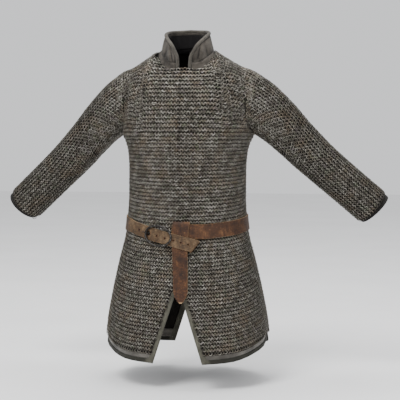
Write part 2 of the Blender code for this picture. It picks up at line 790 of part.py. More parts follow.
def ribbon(rows, thickness):
    """Closed strap from rows of points across its middle surface."""
    rows = np.array(rows)
    step = np.gradient(rows.mean(axis=1), axis=0)[:, None, :]
    across = np.gradient(rows, axis=1)
    normal = np.cross(step, across)
    normal = normal / np.linalg.norm(normal, axis=2)[:, :, None]
    outer = rows + normal * thickness / 2
    inner = rows - normal * thickness / 2
    faces = grid_faces(*rows.shape[:2])
    return thicken(outer.reshape(-1, 3), inner.reshape(-1, 3), faces)


def strap_row(top, low, layer):
    """Points across the strap, between two edge points given as (x, height) on the front."""
    mixes = [k / STRAP_STEPS for k in range(STRAP_STEPS + 1)]
    return [on_front(top[0] + (low[0] - top[0]) * m, top[1] + (low[1] - top[1]) * m, layer) for m in mixes]


def finer(rows, cuts):
    """Rows of a table with smooth rows added between them."""
    steps = ("step",) + tuple(range(len(rows[0])))
    table = [(float(i),) + tuple(row) for i, row in enumerate(rows)]
    marks = np.linspace(0.0, len(rows) - 1.0, (len(rows) - 1) * cuts + 1)
    columns = [smooth(table, steps, "step", k, marks) for k in range(len(rows[0]))]
    return np.column_stack(columns)


def belt_rows():
    """Rows of the whole strap, from its hidden end beside the ring to the tip of the tail."""
    half = LEATHER / 2
    out = []
    for place in np.linspace(0.0, WAIST_RUN[-1][0], WAIST_STEPS + 1):
        top, low, layer = [float(smooth(WAIST_RUN, WAIST_COLUMNS, "place", n, place))
                           for n in ("top", "bottom", "layer")]
        heights = [top + (low - top) * k / STRAP_STEPS for k in range(STRAP_STEPS + 1)]
        out.append([on_body(place, height, layer + half) for height in heights])
    for top_x, top_z, low_x, low_z, layer in finer(END_RUN, 3):
        out.append(strap_row((top_x, top_z), (low_x, low_z), layer + half))
    fold = np.array(FOLD_TOP) - np.array(FOLD_BOTTOM)
    away = np.array([fold[1], -fold[0]]) / np.linalg.norm(fold)
    near = END_RUN[-1][4] + half
    far = BEHIND_RUN[0][4] + half
    for k in range(1, 8):
        turn = math.pi * k / 8
        layer = (near + far) / 2 + (near - far) / 2 * math.cos(turn)
        push = away * (near - far) / 2 * math.sin(turn)
        out.append(strap_row(FOLD_TOP + push, FOLD_BOTTOM + push, layer))
    for top_x, top_z, low_x, low_z, layer in finer(BEHIND_RUN, 2):
        out.append(strap_row((top_x, top_z), (low_x, low_z), layer + half))
    near = BEHIND_RUN[-1][4] + half
    far = LAYER_WRAP + half
    for k in range(1, 6):
        turn = math.pi * k / 6
        layer = (near + far) / 2 - (far - near) / 2 * math.cos(turn)
        height = WRAP_TOP + (far - near) / 2 * math.sin(turn)
        out.append(strap_row((0.0270, height), (-0.0165, height), layer))
    for top_x, top_z, low_x, low_z, layer in TAIL_RUN:
        out.append(strap_row((top_x, top_z), (low_x, low_z), layer + half))
    return out


def build_belt(material):
    points, faces = ribbon(belt_rows(), LEATHER)
    belt = make_object("belt_strap", points, faces, material("belt_strap"), smooth_faces=False)
    cutters = []
    for x in HOLE_XS + (TONGUE_HOLE_X,):
        height = HOLE_LINE_Z + HOLE_LINE_SLOPE * (x - TONGUE_HOLE_X)
        layer = end_layer(x) + LEATHER / 2
        spare = 0.0016 if x < -0.03 else 0.0005
        inner = on_front(x, height, layer - LEATHER / 2 - spare)
        outer = on_front(x, height, layer + LEATHER / 2 + spare)
        radius = 0.0062 if x == TONGUE_HOLE_X else HOLE_RADIUS
        points, faces = tube([inner, outer], radius, sides=8, out=[(0, 0, 1.0)] * 2)
        cutters.append((points, faces))
    offset = 0
    all_points = []
    all_faces = []
    for points, faces in cutters:
        all_points.append(points)
        all_faces += [tuple(i + offset for i in face) for face in faces]
        offset += len(points)
    cutter = make_object("cutter", np.vstack(all_points), all_faces, material("belt_strap"))
    cut = belt.modifiers.new("holes", "BOOLEAN")
    cut.operation = "DIFFERENCE"
    cut.object = cutter
    seen = bpy.context.evaluated_depsgraph_get()
    mesh = bpy.data.meshes.new_from_object(belt.evaluated_get(seen))
    belt.modifiers.clear()
    belt.data = mesh
    bpy.data.objects.remove(cutter)


def end_layer(x):
    """Layer of the belt end's inner face at x along its centre line."""
    middle = [((r[0] + r[2]) / 2, r[4]) for r in finer(END_RUN, 3)]
    return float(np.interp(x, [m[0] for m in middle], [m[1] for m in middle]))


def build_buckle(material):
    tilt = math.radians(RING_TILT)
    path = []
    for k in range(32):
        turn = 2 * math.pi * k / 32
        u = RING_LONG * math.cos(turn)
        v = RING_SHORT * math.sin(turn)
        x = RING_CENTRE[0] + u * math.cos(tilt) + v * math.sin(tilt)
        z = RING_CENTRE[1] - u * math.sin(tilt) + v * math.cos(tilt)
        share = (math.cos(turn) + 1) / 2
        path.append(on_front(x, z, RING_LAYER_OUTER + (RING_LAYER_INNER - RING_LAYER_OUTER) * share))
    path = np.array(path)
    points = []
    face = on_front(RING_CENTRE[0], RING_CENTRE[1], 1.0) - on_front(RING_CENTRE[0], RING_CENTRE[1], 0.0)
    for i in range(32):
        step = path[(i + 1) % 32] - path[i - 1]
        step = step / np.linalg.norm(step)
        side = np.cross(step, face)
        side = side / np.linalg.norm(side)
        up = np.cross(side, step)
        for k in range(8):
            turn = 2 * math.pi * k / 8
            points.append(path[i] + WIRE_RADIUS * (side * math.cos(turn) + up * math.sin(turn)))
    faces = []
    for i in range(32):
        for k in range(8):
            n = (k + 1) % 8
            j = (i + 1) % 32
            faces.append((i * 8 + k, i * 8 + n, j * 8 + n, j * 8 + k))
    make_object("buckle_ring", np.array(points), faces, material("buckle_ring"))
    path = []
    for x, layer, radius in TONGUE:
        height = HOLE_LINE_Z + HOLE_LINE_SLOPE * (x - TONGUE_HOLE_X)
        path.append(on_front(x, height, layer))
    points, faces = tube(path, np.array([row[2] for row in TONGUE]), sides=8, out=[(0, 0, 1.0)] * len(path))
    make_object("buckle_tongue", points, faces, material("buckle_tongue"))


# Materials: node name start, then colour, roughness and metallic value
MATERIALS = (
    ("mail", (0.16, 0.155, 0.14), 0.5, 0.85),
    ("hem_cloth", (0.22, 0.20, 0.17), 0.9, 0.0),
    ("hem_binding", (0.10, 0.10, 0.08), 0.9, 0.0),
    ("collar", (0.15, 0.145, 0.125), 0.9, 0.0),
    ("neck_yoke", (0.15, 0.145, 0.125), 0.9, 0.0),
    ("cuff", (0.02, 0.018, 0.015), 0.95, 0.0),
    ("belt", (0.16, 0.085, 0.045), 0.6, 0.0),
    ("buckle", (0.08, 0.075, 0.07), 0.4, 0.95),
)


def material_for(name):
    for start, colour, roughness, metallic in MATERIALS:
        if name.startswith(start):
            break
    material = bpy.data.materials.new(name + "_material")
    material.use_nodes = True
    shader = material.node_tree.nodes["Principled BSDF"]
    shader.inputs["Base Color"].default_value = colour + (1.0,)
    shader.inputs["Roughness"].default_value = roughness
    shader.inputs["Metallic"].default_value = metallic
    return material


def main():
    for thing in list(bpy.data.objects):
        bpy.data.objects.remove(thing, do_unlink=True)
    made = build_mail(material_for)
    build_hems(material_for)
    build_cuffs(material_for, made["sleeve"])
    build_collar(material_for)
    build_yoke(material_for, made)
    build_belt(material_for)
    build_buckle(material_for)


main()
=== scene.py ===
"""Looks of the chainmail hauberk: rings of mail, cloth, leather and steel over the frame's pieces.

The form comes from the same named sizes as the frame's solids. Each row of mail rings is laid along
that form, and the cloth and leather pieces are finer copies of their solids.
"""
import math

import bmesh
import bpy
import mathutils
import numpy as np
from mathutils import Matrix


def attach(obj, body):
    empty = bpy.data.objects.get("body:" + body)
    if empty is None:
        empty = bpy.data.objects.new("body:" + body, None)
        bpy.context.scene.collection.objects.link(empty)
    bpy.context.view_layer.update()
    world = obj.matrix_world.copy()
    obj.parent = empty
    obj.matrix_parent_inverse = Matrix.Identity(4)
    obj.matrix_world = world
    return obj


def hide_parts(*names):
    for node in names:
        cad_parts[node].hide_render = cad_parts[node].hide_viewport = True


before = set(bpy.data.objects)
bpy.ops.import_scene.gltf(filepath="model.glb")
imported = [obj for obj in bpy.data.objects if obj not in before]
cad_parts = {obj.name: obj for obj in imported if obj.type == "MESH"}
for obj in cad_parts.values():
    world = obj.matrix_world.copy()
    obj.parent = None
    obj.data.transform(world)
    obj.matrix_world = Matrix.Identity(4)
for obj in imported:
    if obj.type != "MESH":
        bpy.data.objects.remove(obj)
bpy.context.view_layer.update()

# Driving dimensions
SEAM_GAP = 0.0003
MAIL_WALL = 0.004
CLOTH_WALL = 0.0026
UNDER_TOP = MAIL_WALL + 0.0011
CHEST_Z = -0.224
SLIT_TOP_Z = -0.584
SLIT_HALF_WIDTH = 0.069
SLIT_END_Z = -0.834
BINDING_WIDTH = 0.012
HEM_CLOTH_WIDTH = 0.015
UNDER_LAP = 0.008
SLIT_LAP = 0.004

# Closed sections of the body below the arms: side_y is where the side seam runs
BODY_COLUMNS = ("height", "half_width", "side_y", "front_y", "back_y", "power")
BODY_SECTIONS = (
    (-0.224, 0.1830, 0.015, -0.124, 0.128, 2.30),
    (-0.246, 0.1715, 0.012, -0.125, 0.127, 2.30),
    (-0.275, 0.1640, 0.008, -0.125, 0.124, 2.30),
    (-0.320, 0.1610, 0.003, -0.123, 0.117, 2.30),
    (-0.390, 0.1610, -0.002, -0.119, 0.108, 2.30),
    (-0.440, 0.1635, -0.005, -0.118, 0.105, 2.30),
    (-0.487, 0.1685, -0.005, -0.121, 0.111, 2.25),
    (-0.570, 0.1890, -0.004, -0.136, 0.138, 2.20),
    (-0.660, 0.2090, -0.003, -0.152, 0.163, 2.20),
    (-0.740, 0.2230, -0.002, -0.163, 0.180, 2.20),
    (-0.840, 0.2320, -0.002, -0.171, 0.190, 2.20),
)

# Vertical folds of the skirt: place is the share of the way from centre front to centre back
FOLD_COLUMNS = ("place", "spread", "depth", "top", "bottom")
SKIRT_FOLDS = (
    (0.22, 0.050, 0.0045, -0.52, -0.80),
    (0.36, 0.045, -0.0035, -0.55, -0.82),
    (0.62, 0.050, 0.0045, -0.52, -0.82),
    (0.78, 0.050, -0.0040, -0.54, -0.82),
)

# Lower edge of the mail, from the slit to the side seam
HEM_COLUMNS = ("place", "height")
MAIL_HEM = ((0.0, -0.806), (0.45, -0.796), (0.8, -0.773), (1.0, -0.746))

# Neckline of the mail, by angle from centre front
NECK_COLUMNS = ("angle", "height", "lean")
NECK_HALF_WIDTH = 0.078
NECK_FRONT_Y = -0.068
NECK_BACK_Y = 0.064
NECK_SIDE_Y = 0.002
MAIL_NECK = (
    (0.0, -0.0490, 70.0),
    (22.0, -0.0480, 71.0),
    (45.0, -0.0370, 75.0),
    (70.0, -0.0130, 84.0),
    (90.0, 0.0010, 90.0),
    (120.0, 0.0080, 76.0),
    (150.0, 0.0110, 64.0),
    (180.0, 0.0120, 60.0),
)
NECK_SHARE = 0.5
YOKE_OPEN_ANGLE = 18.6
YOKE_LAP = 0.009

# Shoulder seam, from the neck to the tip of the shoulder
SHOULDER_COLUMNS = ("x", "y", "height")
SHOULDER_SEAM = (
    (0.078, 0.002, 0.0010),
    (0.110, 0.006, -0.0190),
    (0.150, 0.010, -0.0410),
    (0.180, 0.012, -0.0520),
    (0.195, 0.013, -0.0610),
)
SHOULDER_POWER = 2.5
ARMHOLE_REACH_FRONT = 0.070
ARMHOLE_REACH_BACK = 0.072
ARMHOLE_HOLLOW = 0.012
ARMHOLE_BLEND = 3.0

# Sleeve
CUFF_CENTRE = (0.502, 0.117, -0.428)
CUFF_UP = (0.726, 0.142, 0.673)
CUFF_RADIUS = 0.0545
SLEEVE_COLUMNS = ("along", "to_cuff", "girth", "lift")
SLEEVE_SECTIONS = (
    (0.00, 0.00, 1.00, 0.000),
    (0.12, 0.08, 1.02, 0.006),
    (0.25, 0.30, 1.03, 0.005),
    (0.40, 0.65, 1.02, 0.000),
    (0.60, 0.92, 1.00, -0.002),
    (0.80, 1.00, 1.00, -0.001),
    (1.00, 1.00, 1.00, 0.000),
)

# Stand collar, by angle from centre front; the roll runs along its top and front edges
COLLAR_WALL = 0.0045
COLLAR_HALF_WIDTH = 0.0720
COLLAR_FRONT_Y = -0.0635
COLLAR_BACK_Y = 0.0600
COLLAR_LEAN_IN = 0.24
COLLAR_OPEN_ANGLE = 19.6
ROLL_RADIUS = 0.0042
BASE_COLUMNS = ("angle", "height")
COLLAR_BASE = ((10.0, -0.0350), (30.0, -0.0310), (57.0, -0.0160), (90.0, 0.0030), (180.0, 0.0140))
ROLL_COLUMNS = ("angle", "height")
COLLAR_ROLL = (
    (13.6, -0.0480),
    (14.2, -0.0330),
    (16.0, -0.0180),
    (24.0, -0.0020),
    (37.0, 0.0160),
    (56.0, 0.0310),
    (75.0, 0.0420),
    (95.0, 0.0490),
    (125.0, 0.0550),
    (180.0, 0.0590),
)

# Belt: leather strap, its layers counted out from the mail
LEATHER = 0.0026
LAYER_MAIL = 0.0009
LAYER_STRAP = 0.0043
LAYER_WRAP = 0.0075
LAYER_OVER = 0.0107

# Waist run from the hidden end beside the ring round the back to the ring, by place
WAIST_COLUMNS = ("place", "top", "bottom", "layer")
WAIST_RUN = (
    (0.00, -0.4625, -0.5015, LAYER_STRAP),
    (0.27, -0.4618, -0.5008, LAYER_STRAP),
    (0.42, -0.4590, -0.4980, 0.0016),
    (0.60, -0.4545, -0.4935, LAYER_MAIL),
    (1.00, -0.4440, -0.4830, LAYER_MAIL),
    (1.50, -0.4400, -0.4790, LAYER_MAIL),
    (2.00, -0.4390, -0.4780, LAYER_MAIL),
    (2.50, -0.4400, -0.4785, LAYER_MAIL),
    (3.00, -0.4445, -0.4820, LAYER_MAIL),
    (3.34, -0.4530, -0.4885, LAYER_MAIL),
)
WAIST_STEPS = 240
STRAP_STEPS = 8

# Belt end through the ring to its fold, then up behind the strap, over it and down as the tail
END_COLUMNS = ("top_x", "top_z", "bottom_x", "bottom_z", "layer")
END_RUN = (
    (-0.1265, -0.4585, -0.1262, -0.4930, LAYER_MAIL),
    (-0.1000, -0.4655, -0.1030, -0.5000, 0.0010),
    (-0.0800, -0.4710, -0.0860, -0.5050, 0.0034),
    (-0.0600, -0.4765, -0.0670, -0.5100, 0.0045),
    (-0.0400, -0.4815, -0.0480, -0.5145, 0.0070),
    (-0.0190, -0.4868, -0.0270, -0.5200, LAYER_OVER),
    (0.0050, -0.4930, -0.0060, -0.5260, LAYER_OVER),
    (0.0300, -0.4990, 0.0110, -0.5305, LAYER_OVER),
    (0.0480, -0.5040, 0.0250, -0.5338, 0.0096),
)
FOLD_TOP = (0.0503, -0.5051)
FOLD_BOTTOM = (0.0273, -0.5349)
BEHIND_RUN = (
    (0.0470, -0.4990, 0.0220, -0.5250, LAYER_MAIL),
    (0.0400, -0.4850, 0.0120, -0.5060, LAYER_MAIL),
    (0.0330, -0.4720, 0.0000, -0.4830, LAYER_MAIL),
    (0.0280, -0.4620, -0.0140, -0.4620, LAYER_MAIL),
)
WRAP_TOP = -0.4595
TAIL_RUN = (
    (0.0262, -0.4660, -0.0190, -0.4660, LAYER_WRAP),
    (0.0240, -0.4800, -0.0203, -0.4800, LAYER_WRAP),
    (0.0236, -0.5000, -0.0195, -0.5000, LAYER_WRAP),
    (0.0232, -0.5200, -0.0184, -0.5200, LAYER_WRAP),
    (0.0232, -0.5400, -0.0172, -0.5400, 0.0062),
    (0.0240, -0.5650, -0.0160, -0.5650, 0.0030),
    (0.0250, -0.6000, -0.0140, -0.6000, 0.0008),
    (0.0262, -0.6400, -0.0122, -0.6400, LAYER_MAIL),
    (0.0225, -0.6530, -0.0080, -0.6530, LAYER_MAIL),
    (0.0160, -0.6640, 0.0000, -0.6640, LAYER_MAIL),
    (0.0110, -0.6690, 0.0060, -0.6690, LAYER_MAIL),
)

# Holes in the belt end, and the ring and tongue of the buckle
HOLE_RADIUS = 0.0021
HOLE_XS = (-0.1125, -0.0602, -0.0370, -0.0141, 0.0055, 0.0241)
TONGUE_HOLE_X = -0.0848
HOLE_LINE_Z = -0.4880
HOLE_LINE_SLOPE = -0.262
RING_CENTRE = (-0.0555, -0.4945)
RING_LONG = 0.0362
RING_SHORT = 0.0268
RING_TILT = 14.0
WIRE_RADIUS = 0.0026
RING_LAYER_OUTER = 0.0080
RING_LAYER_INNER = 0.0172
TONGUE_COLUMNS = ("x", "layer", "radius")
TONGUE = (
    (-0.0520, 0.0020, 0.0012),
    (-0.0790, 0.0019, 0.0012),
    (-0.0825, 0.0032, 0.0012),
    (-0.0864, 0.0095, 0.0012),
    (-0.0885, 0.0126, 0.0012),
    (-0.0930, 0.0128, 0.0012),
    (-0.0985, 0.0114, 0.0007),
)

# Mesh counts, finer than the solids
SIDE_STEPS = 24
SKIRT_ROWS = 18
BODY_ROWS = 20
YOKE_ROWS = 14
SLEEVE_ROWS = 26
BELT_FINER = 3


def column(table, names, name):
    return np.array([row[names.index(name)] for row in table])


def smooth(table, names, key, name, at):
    """Read a column of a table at any place, with a smooth curve through its rows."""
    x = column(table, names, key)
    y = column(table, names, name)
    if x[0] > x[-1]:
        x = x[::-1]
        y = y[::-1]
    step = np.diff(x)
    slope = np.diff(y) / step
    tangent = np.zeros(len(x))
    tangent[0] = slope[0]
    tangent[-1] = slope[-1]
    for i in range(1, len(x) - 1):
        if slope[i - 1] * slope[i] > 0:
            tangent[i] = 2 * slope[i - 1] * slope[i] / (slope[i - 1] + slope[i])
    at = np.clip(np.asarray(at, float), x[0], x[-1])
    i = np.clip(np.searchsorted(x, at, side="right") - 1, 0, len(x) - 2)
    t = (at - x[i]) / step[i]
    rise = (2 * t**3 - 3 * t**2 + 1) * y[i] + (3 * t**2 - 2 * t**3) * y[i + 1]
    bend = (t**3 - 2 * t**2 + t) * tangent[i] + (t**3 - t**2) * tangent[i + 1]
    return rise + bend * step[i]


def body(name, height):
    return smooth(BODY_SECTIONS, BODY_COLUMNS, "height", name, height)


def fold_push(place, height):
    """How far the folds push the cloth out at a place, 0 at centre front to 2 at centre back."""
    push = 0.0
    for at, spread, depth, top, bottom in SKIRT_FOLDS:
        grow = min(max((top - height) / (top - bottom), 0.0), 1.0)
        push += depth * grow * grow * math.exp(-((place / 2 - at) / spread) ** 2)
    return push


def section_curve(height, back):
    """Quarter of the body's section at a height, from the centre line to the side seam."""
    turn = np.linspace(0.0, math.pi / 2, 61)
    power = 2.0 / body("power", height)
    end_y = body("back_y" if back else "front_y", height)
    side_y = body("side_y", height)
    x = body("half_width", height) * np.sin(turn) ** power
    y = side_y + (end_y - side_y) * np.cos(turn) ** power
    return np.column_stack([x, y])


def body_point(place, height):
    """Point of the wearer's left half: place is 0 at centre front, 1 at the side, 2 at centre back."""
    back = place > 1.0
    share = 2.0 - place if back else place
    curve = section_curve(height, back)
    run = np.concatenate([[0.0], np.cumsum(np.linalg.norm(np.diff(curve, axis=0), axis=1))])
    x = np.interp(share * run[-1], run, curve[:, 0])
    y = np.interp(share * run[-1], run, curve[:, 1])
    side_y = body("side_y", height)
    out = np.array([x, y - side_y])
    push = fold_push(place, height) * out / max(np.linalg.norm(out), 1e-9)
    return np.array([x + push[0] * min(1.0, share * 4), y + push[1], height])


def place_of_x(x, height, back):
    """Place along the section where the body is x from the centre line."""
    curve = section_curve(height, back)
    run = np.concatenate([[0.0], np.cumsum(np.linalg.norm(np.diff(curve, axis=0), axis=1))])
    share = np.interp(x, curve[:, 0], run) / run[-1]
    return 2.0 - share if back else share


def neck_point(angle):
    """Point of the mail's neckline, by angle from centre front."""
    turn = math.radians(angle)
    end_y = NECK_BACK_Y if angle > 90 else NECK_FRONT_Y
    x = NECK_HALF_WIDTH * math.sin(turn)
    y = NECK_SIDE_Y + (end_y - NECK_SIDE_Y) * abs(math.cos(turn))
    return np.array([x, y, float(smooth(MAIL_NECK, NECK_COLUMNS, "angle", "height", angle))])


def top_point(share, back):
    """Upper edge of a panel: neckline up to NECK_SHARE, then the shoulder seam."""
    if share <= NECK_SHARE:
        angle = 90.0 * share / NECK_SHARE
        angle = 180.0 - angle if back else angle
        lean = float(smooth(MAIL_NECK, NECK_COLUMNS, "angle", "lean", angle))
        return neck_point(angle), lean
    along = (share - NECK_SHARE) / (1 - NECK_SHARE)
    x = SHOULDER_SEAM[0][0] + along * (SHOULDER_SEAM[-1][0] - SHOULDER_SEAM[0][0])
    y = float(smooth(SHOULDER_SEAM, SHOULDER_COLUMNS, "x", "y", x))
    z = float(smooth(SHOULDER_SEAM, SHOULDER_COLUMNS, "x", "height", x))
    return np.array([x, y, z]), 90.0


def armhole_point(rise, back):
    """Front or back half of the armhole, from the armpit up to the shoulder tip."""
    pit = body_point(1.0, CHEST_Z)
    tip = np.array(SHOULDER_SEAM[-1])
    lift = (1 - math.cos(math.pi * rise)) / 2
    point = pit + (tip - pit) * lift
    bulge = math.sin(math.pi * rise)
    point[0] -= ARMHOLE_HOLLOW * bulge
    point[1] += (ARMHOLE_REACH_BACK if back else -ARMHOLE_REACH_FRONT) * bulge
    return point


def rounded_rise(start, end, lean, rise):
    """Point on a full curve that leaves start upright and reaches end at the given lean."""
    turn = math.radians(lean) * rise
    power = 2.0 / SHOULDER_POWER
    up = math.sin(turn) ** power / math.sin(math.radians(lean)) ** power
    last = max(math.cos(math.radians(lean)), 0.0) ** power
    over = (1 - max(math.cos(turn), 0.0) ** power) / (1 - last)
    x = start[0] + (end[0] - start[0]) * rise
    y = start[1] + (end[1] - start[1]) * over
    z = start[2] + (end[2] - start[2]) * up
    return np.array([x, y, z])


def upper_point(share, rise, back):
    """Point of a panel above the armpits: share 0 centre to 1 armhole, rise 0 chest to 1 top."""
    end, lean = top_point(share, back)
    start = body_point(2.0 - share if back else share, CHEST_Z)
    point = rounded_rise(start, end, lean, rise)
    pit = body_point(1.0, CHEST_Z)
    plain = rounded_rise(pit, np.array(SHOULDER_SEAM[-1]), 90.0, rise)
    return point + share**ARMHOLE_BLEND * (armhole_point(rise, back) - plain)


def mail_hem(place):
    share = 2.0 - place if place > 1.0 else place
    return float(smooth(MAIL_HEM, HEM_COLUMNS, "place", "height", share))


def slit_half_width(height):
    """Half width of the slit in the mail, its binding not counted."""
    down = (SLIT_TOP_Z - height) / (SLIT_TOP_Z - SLIT_END_Z)
    return max(0.0, (SLIT_HALF_WIDTH + BINDING_WIDTH) * down)


def panel_grid(back):
    """Rows of points of half a panel, hem to top, each from the centre or slit to the side."""
    rows = []
    for i in range(SKIRT_ROWS):
        down = 1 - i / SKIRT_ROWS
        row = []
        for j in range(SIDE_STEPS + 1):
            share = j / SIDE_STEPS
            height = SLIT_TOP_Z + (mail_hem(share) - SLIT_TOP_Z) * down
            edge = place_of_x(slit_half_width(height), height, False)
            share = edge + (1 - edge) * share
            row.append(body_point(2.0 - share if back else share, height))
        rows.append(row)
    for i in range(BODY_ROWS):
        height = SLIT_TOP_Z + (CHEST_Z - SLIT_TOP_Z) * i / BODY_ROWS
        places = [j / SIDE_STEPS for j in range(SIDE_STEPS + 1)]
        rows.append([body_point(2.0 - p if back else p, height) for p in places])
    for i in range(YOKE_ROWS + 1):
        rise = i / YOKE_ROWS
        rows.append([upper_point(j / SIDE_STEPS, rise, back) for j in range(SIDE_STEPS + 1)])
    return np.array(rows)


def sleeve_grid():
    """Rings of the left sleeve from the armhole to the cuff, starting at the shoulder tip."""
    rises = [1 - i / YOKE_ROWS for i in range(YOKE_ROWS)]
    start = [armhole_point(r, False) for r in rises]
    start += [armhole_point(1 - r, True) for r in rises]
    start = np.array(start)
    centre = start.mean(axis=0)
    cuff = np.array(CUFF_CENTRE)
    axis = cuff - centre
    length = np.linalg.norm(axis)
    axis = axis / length
    up = np.array(CUFF_UP)
    up = up - axis * up.dot(axis)
    up = up / np.linalg.norm(up)
    side = np.cross(axis, up)
    count = len(start)
    turns = [2 * math.pi * i / count for i in range(count)]
    flip = 1.0 if side[1] < 0 else -1.0
    ring = [cuff + CUFF_RADIUS * (math.cos(a) * up + flip * math.sin(a) * side) for a in turns]
    ring = np.array(ring)
    grid = []
    for i in range(SLEEVE_ROWS + 1):
        along = i / SLEEVE_ROWS
        mix = float(smooth(SLEEVE_SECTIONS, SLEEVE_COLUMNS, "along", "to_cuff", along))
        girth = float(smooth(SLEEVE_SECTIONS, SLEEVE_COLUMNS, "along", "girth", along))
        lift = float(smooth(SLEEVE_SECTIONS, SLEEVE_COLUMNS, "along", "lift", along))
        near = start + axis * length * along
        far = ring - axis * length * (1 - along)
        points = near * (1 - mix) + far * mix
        middle = points.mean(axis=0)
        grid.append(middle + (points - middle) * girth + up * lift)
    return np.array(grid)



def grid_faces(rows, columns, closed=False, flip=False):
    faces = []
    for i in range(rows - 1):
        for j in range(columns if closed else columns - 1):
            k = (j + 1) % columns
            face = (i * columns + j, i * columns + k, (i + 1) * columns + k, (i + 1) * columns + j)
            faces.append(face[::-1] if flip else face)
    return faces


def mirror(points):
    return points * np.array([-1.0, 1.0, 1.0])


def make_object(name, points, faces, material, smooth_faces=True, recalc=True):
    mesh = bpy.data.meshes.new(name)
    mesh.from_pydata(np.asarray(points).tolist(), [], faces)
    if recalc:
        work = bmesh.new()
        work.from_mesh(mesh)
        bmesh.ops.recalc_face_normals(work, faces=work.faces)
        work.to_mesh(mesh)
        work.free()
    mesh.materials.append(material)
    if smooth_faces:
        mesh.shade_smooth()
    thing = bpy.data.objects.new(name, mesh)
    bpy.context.scene.collection.objects.link(thing)
    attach(thing, "root")
    return thing


# Rings of mail
ROW_PITCH = 0.0051
RING_PITCH = 0.00895
SKIRT_PITCH = 0.0081
SLEEVE_RINGS = 50.2
RING_RADIUS = 0.0050
RING_RISE = 0.33
RING_YAW = 0.17
WIRE_WIDE = 0.00098
WIRE_HIGH = 0.00070
WIRE_LOW = 0.00025
RING_SEGMENTS = 8
RING_DEPTH = 0.0021
SHOULDER_SAG = 1.65
BACKING_NEAR = 0.00445
BACKING_FAR = 0.00503
LOW_ROWS = 114
ROW_SAMPLES = 49


def ring_mesh(centres, along, across, out, wide, tall, signs, seed):
    """One joined mesh of wire rings seen from outside, with a random tone for each ring and painted light and shade
    over each ring.
    """
    rng = np.random.default_rng(seed)
    count = len(centres)
    turn = np.linspace(0, 2 * math.pi, RING_SEGMENTS, endpoint=False)
    spin = rng.uniform(-0.4, 0.4, count)
    rise = RING_RISE * (1 + rng.uniform(-0.34, 0.26, count)) * signs
    yaw = RING_YAW * (1 + rng.uniform(-0.6, 0.6, count))
    size = 1 + rng.uniform(-0.03, 0.03, count)
    shift = rng.uniform(-0.0006, 0.0006, (count, 2))
    angle = turn[None, :] + spin[:, None]
    x = RING_RADIUS * np.cos(angle) * (wide * size)[:, None]
    y = RING_RADIUS * np.sin(angle) * (tall * size)[:, None]
    h = y * rise[:, None] + x * yaw[:, None]
    middle = (centres[:, None, :] + (x + shift[:, :1])[..., None] * along[:, None, :]
              + (y + shift[:, 1:])[..., None] * across[:, None, :] + h[..., None] * out[:, None, :])
    radial = (np.cos(angle) * wide[:, None])[..., None] * along[:, None, :]
    radial = radial + (np.sin(angle) * tall[:, None])[..., None] * across[:, None, :]
    radial = radial / np.linalg.norm(radial, axis=2)[..., None]
    corners = []
    for a, b in ((1.0, -WIRE_LOW), (0.0, WIRE_HIGH), (-1.0, -WIRE_LOW)):
        corners.append(middle + radial * (a * WIRE_WIDE) + out[:, None, :] * b)
    points = np.stack(corners, axis=2).reshape(-1, 3)
    k = np.arange(RING_SEGMENTS)
    after = (k + 1) % RING_SEGMENTS
    quads = np.concatenate([np.stack([k * 3 + c, after * 3 + c, after * 3 + c + 1, k * 3 + c + 1], axis=1)
                            for c in range(2)])
    faces = (quads[None] + (np.arange(count) * RING_SEGMENTS * 3)[:, None, None]).reshape(-1, 4)
    # Painted light and shade: each point of a ring is coloured darker the further it dips in under its neighbours, and
    # lighter where it stands out.
    tone = np.clip(0.5 + h / (2 * RING_RADIUS * 0.46), 0.0, 1.0)
    # Painted shade: the mail is coloured darker towards the hem, and further out to the sides and along the sleeves.
    tone_mask = 0.10 * ease((-0.42 - centres[:, 2]) / 0.20) + 0.10 * ease((np.abs(centres[:, 0]) - 0.19) / 0.12)
    tone = tone * (1 - tone_mask)[:, None]
    shade = np.broadcast_to(rng.uniform(0, 1, count)[:, None], tone.shape)
    return points, faces, np.repeat(shade.ravel(), 3), np.repeat(tone.ravel(), 3)


def rings_object(name, rings, material, seed, flip=False):
    centres, along, across, out, wide, tall, signs = [np.concatenate(r) for r in zip(*rings)]
    points, faces, shade, tone = ring_mesh(centres, along, across, out, wide, tall, signs, seed)
    if flip:
        faces = faces[:, ::-1]
    mesh = bpy.data.meshes.new(name)
    mesh.vertices.add(len(points))
    mesh.vertices.foreach_set("co", points.ravel())
    mesh.loops.add(faces.size)
    mesh.loops.foreach_set("vertex_index", faces.ravel())
    mesh.polygons.add(len(faces))
    mesh.polygons.foreach_set("loop_start", np.arange(0, faces.size, 4))
    mesh.polygons.foreach_set("loop_total", np.full(len(faces), 4))
    mesh.update(calc_edges=True)
    mesh.validate()
    for name_of, values in (("ring_shade", shade), ("ring_light_and_shade", tone)):
        mesh.attributes.new(name_of, "FLOAT", "POINT").data.foreach_set("value", values)
    mesh.materials.append(material)
    mesh.shade_smooth()
    thing = bpy.data.objects.new(name, mesh)
    bpy.context.scene.collection.objects.link(thing)
    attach(thing, "root")
    return thing


def ease(value):
    value = np.clip(value, 0.0, 1.0)
    return value * value * (3 - 2 * value)


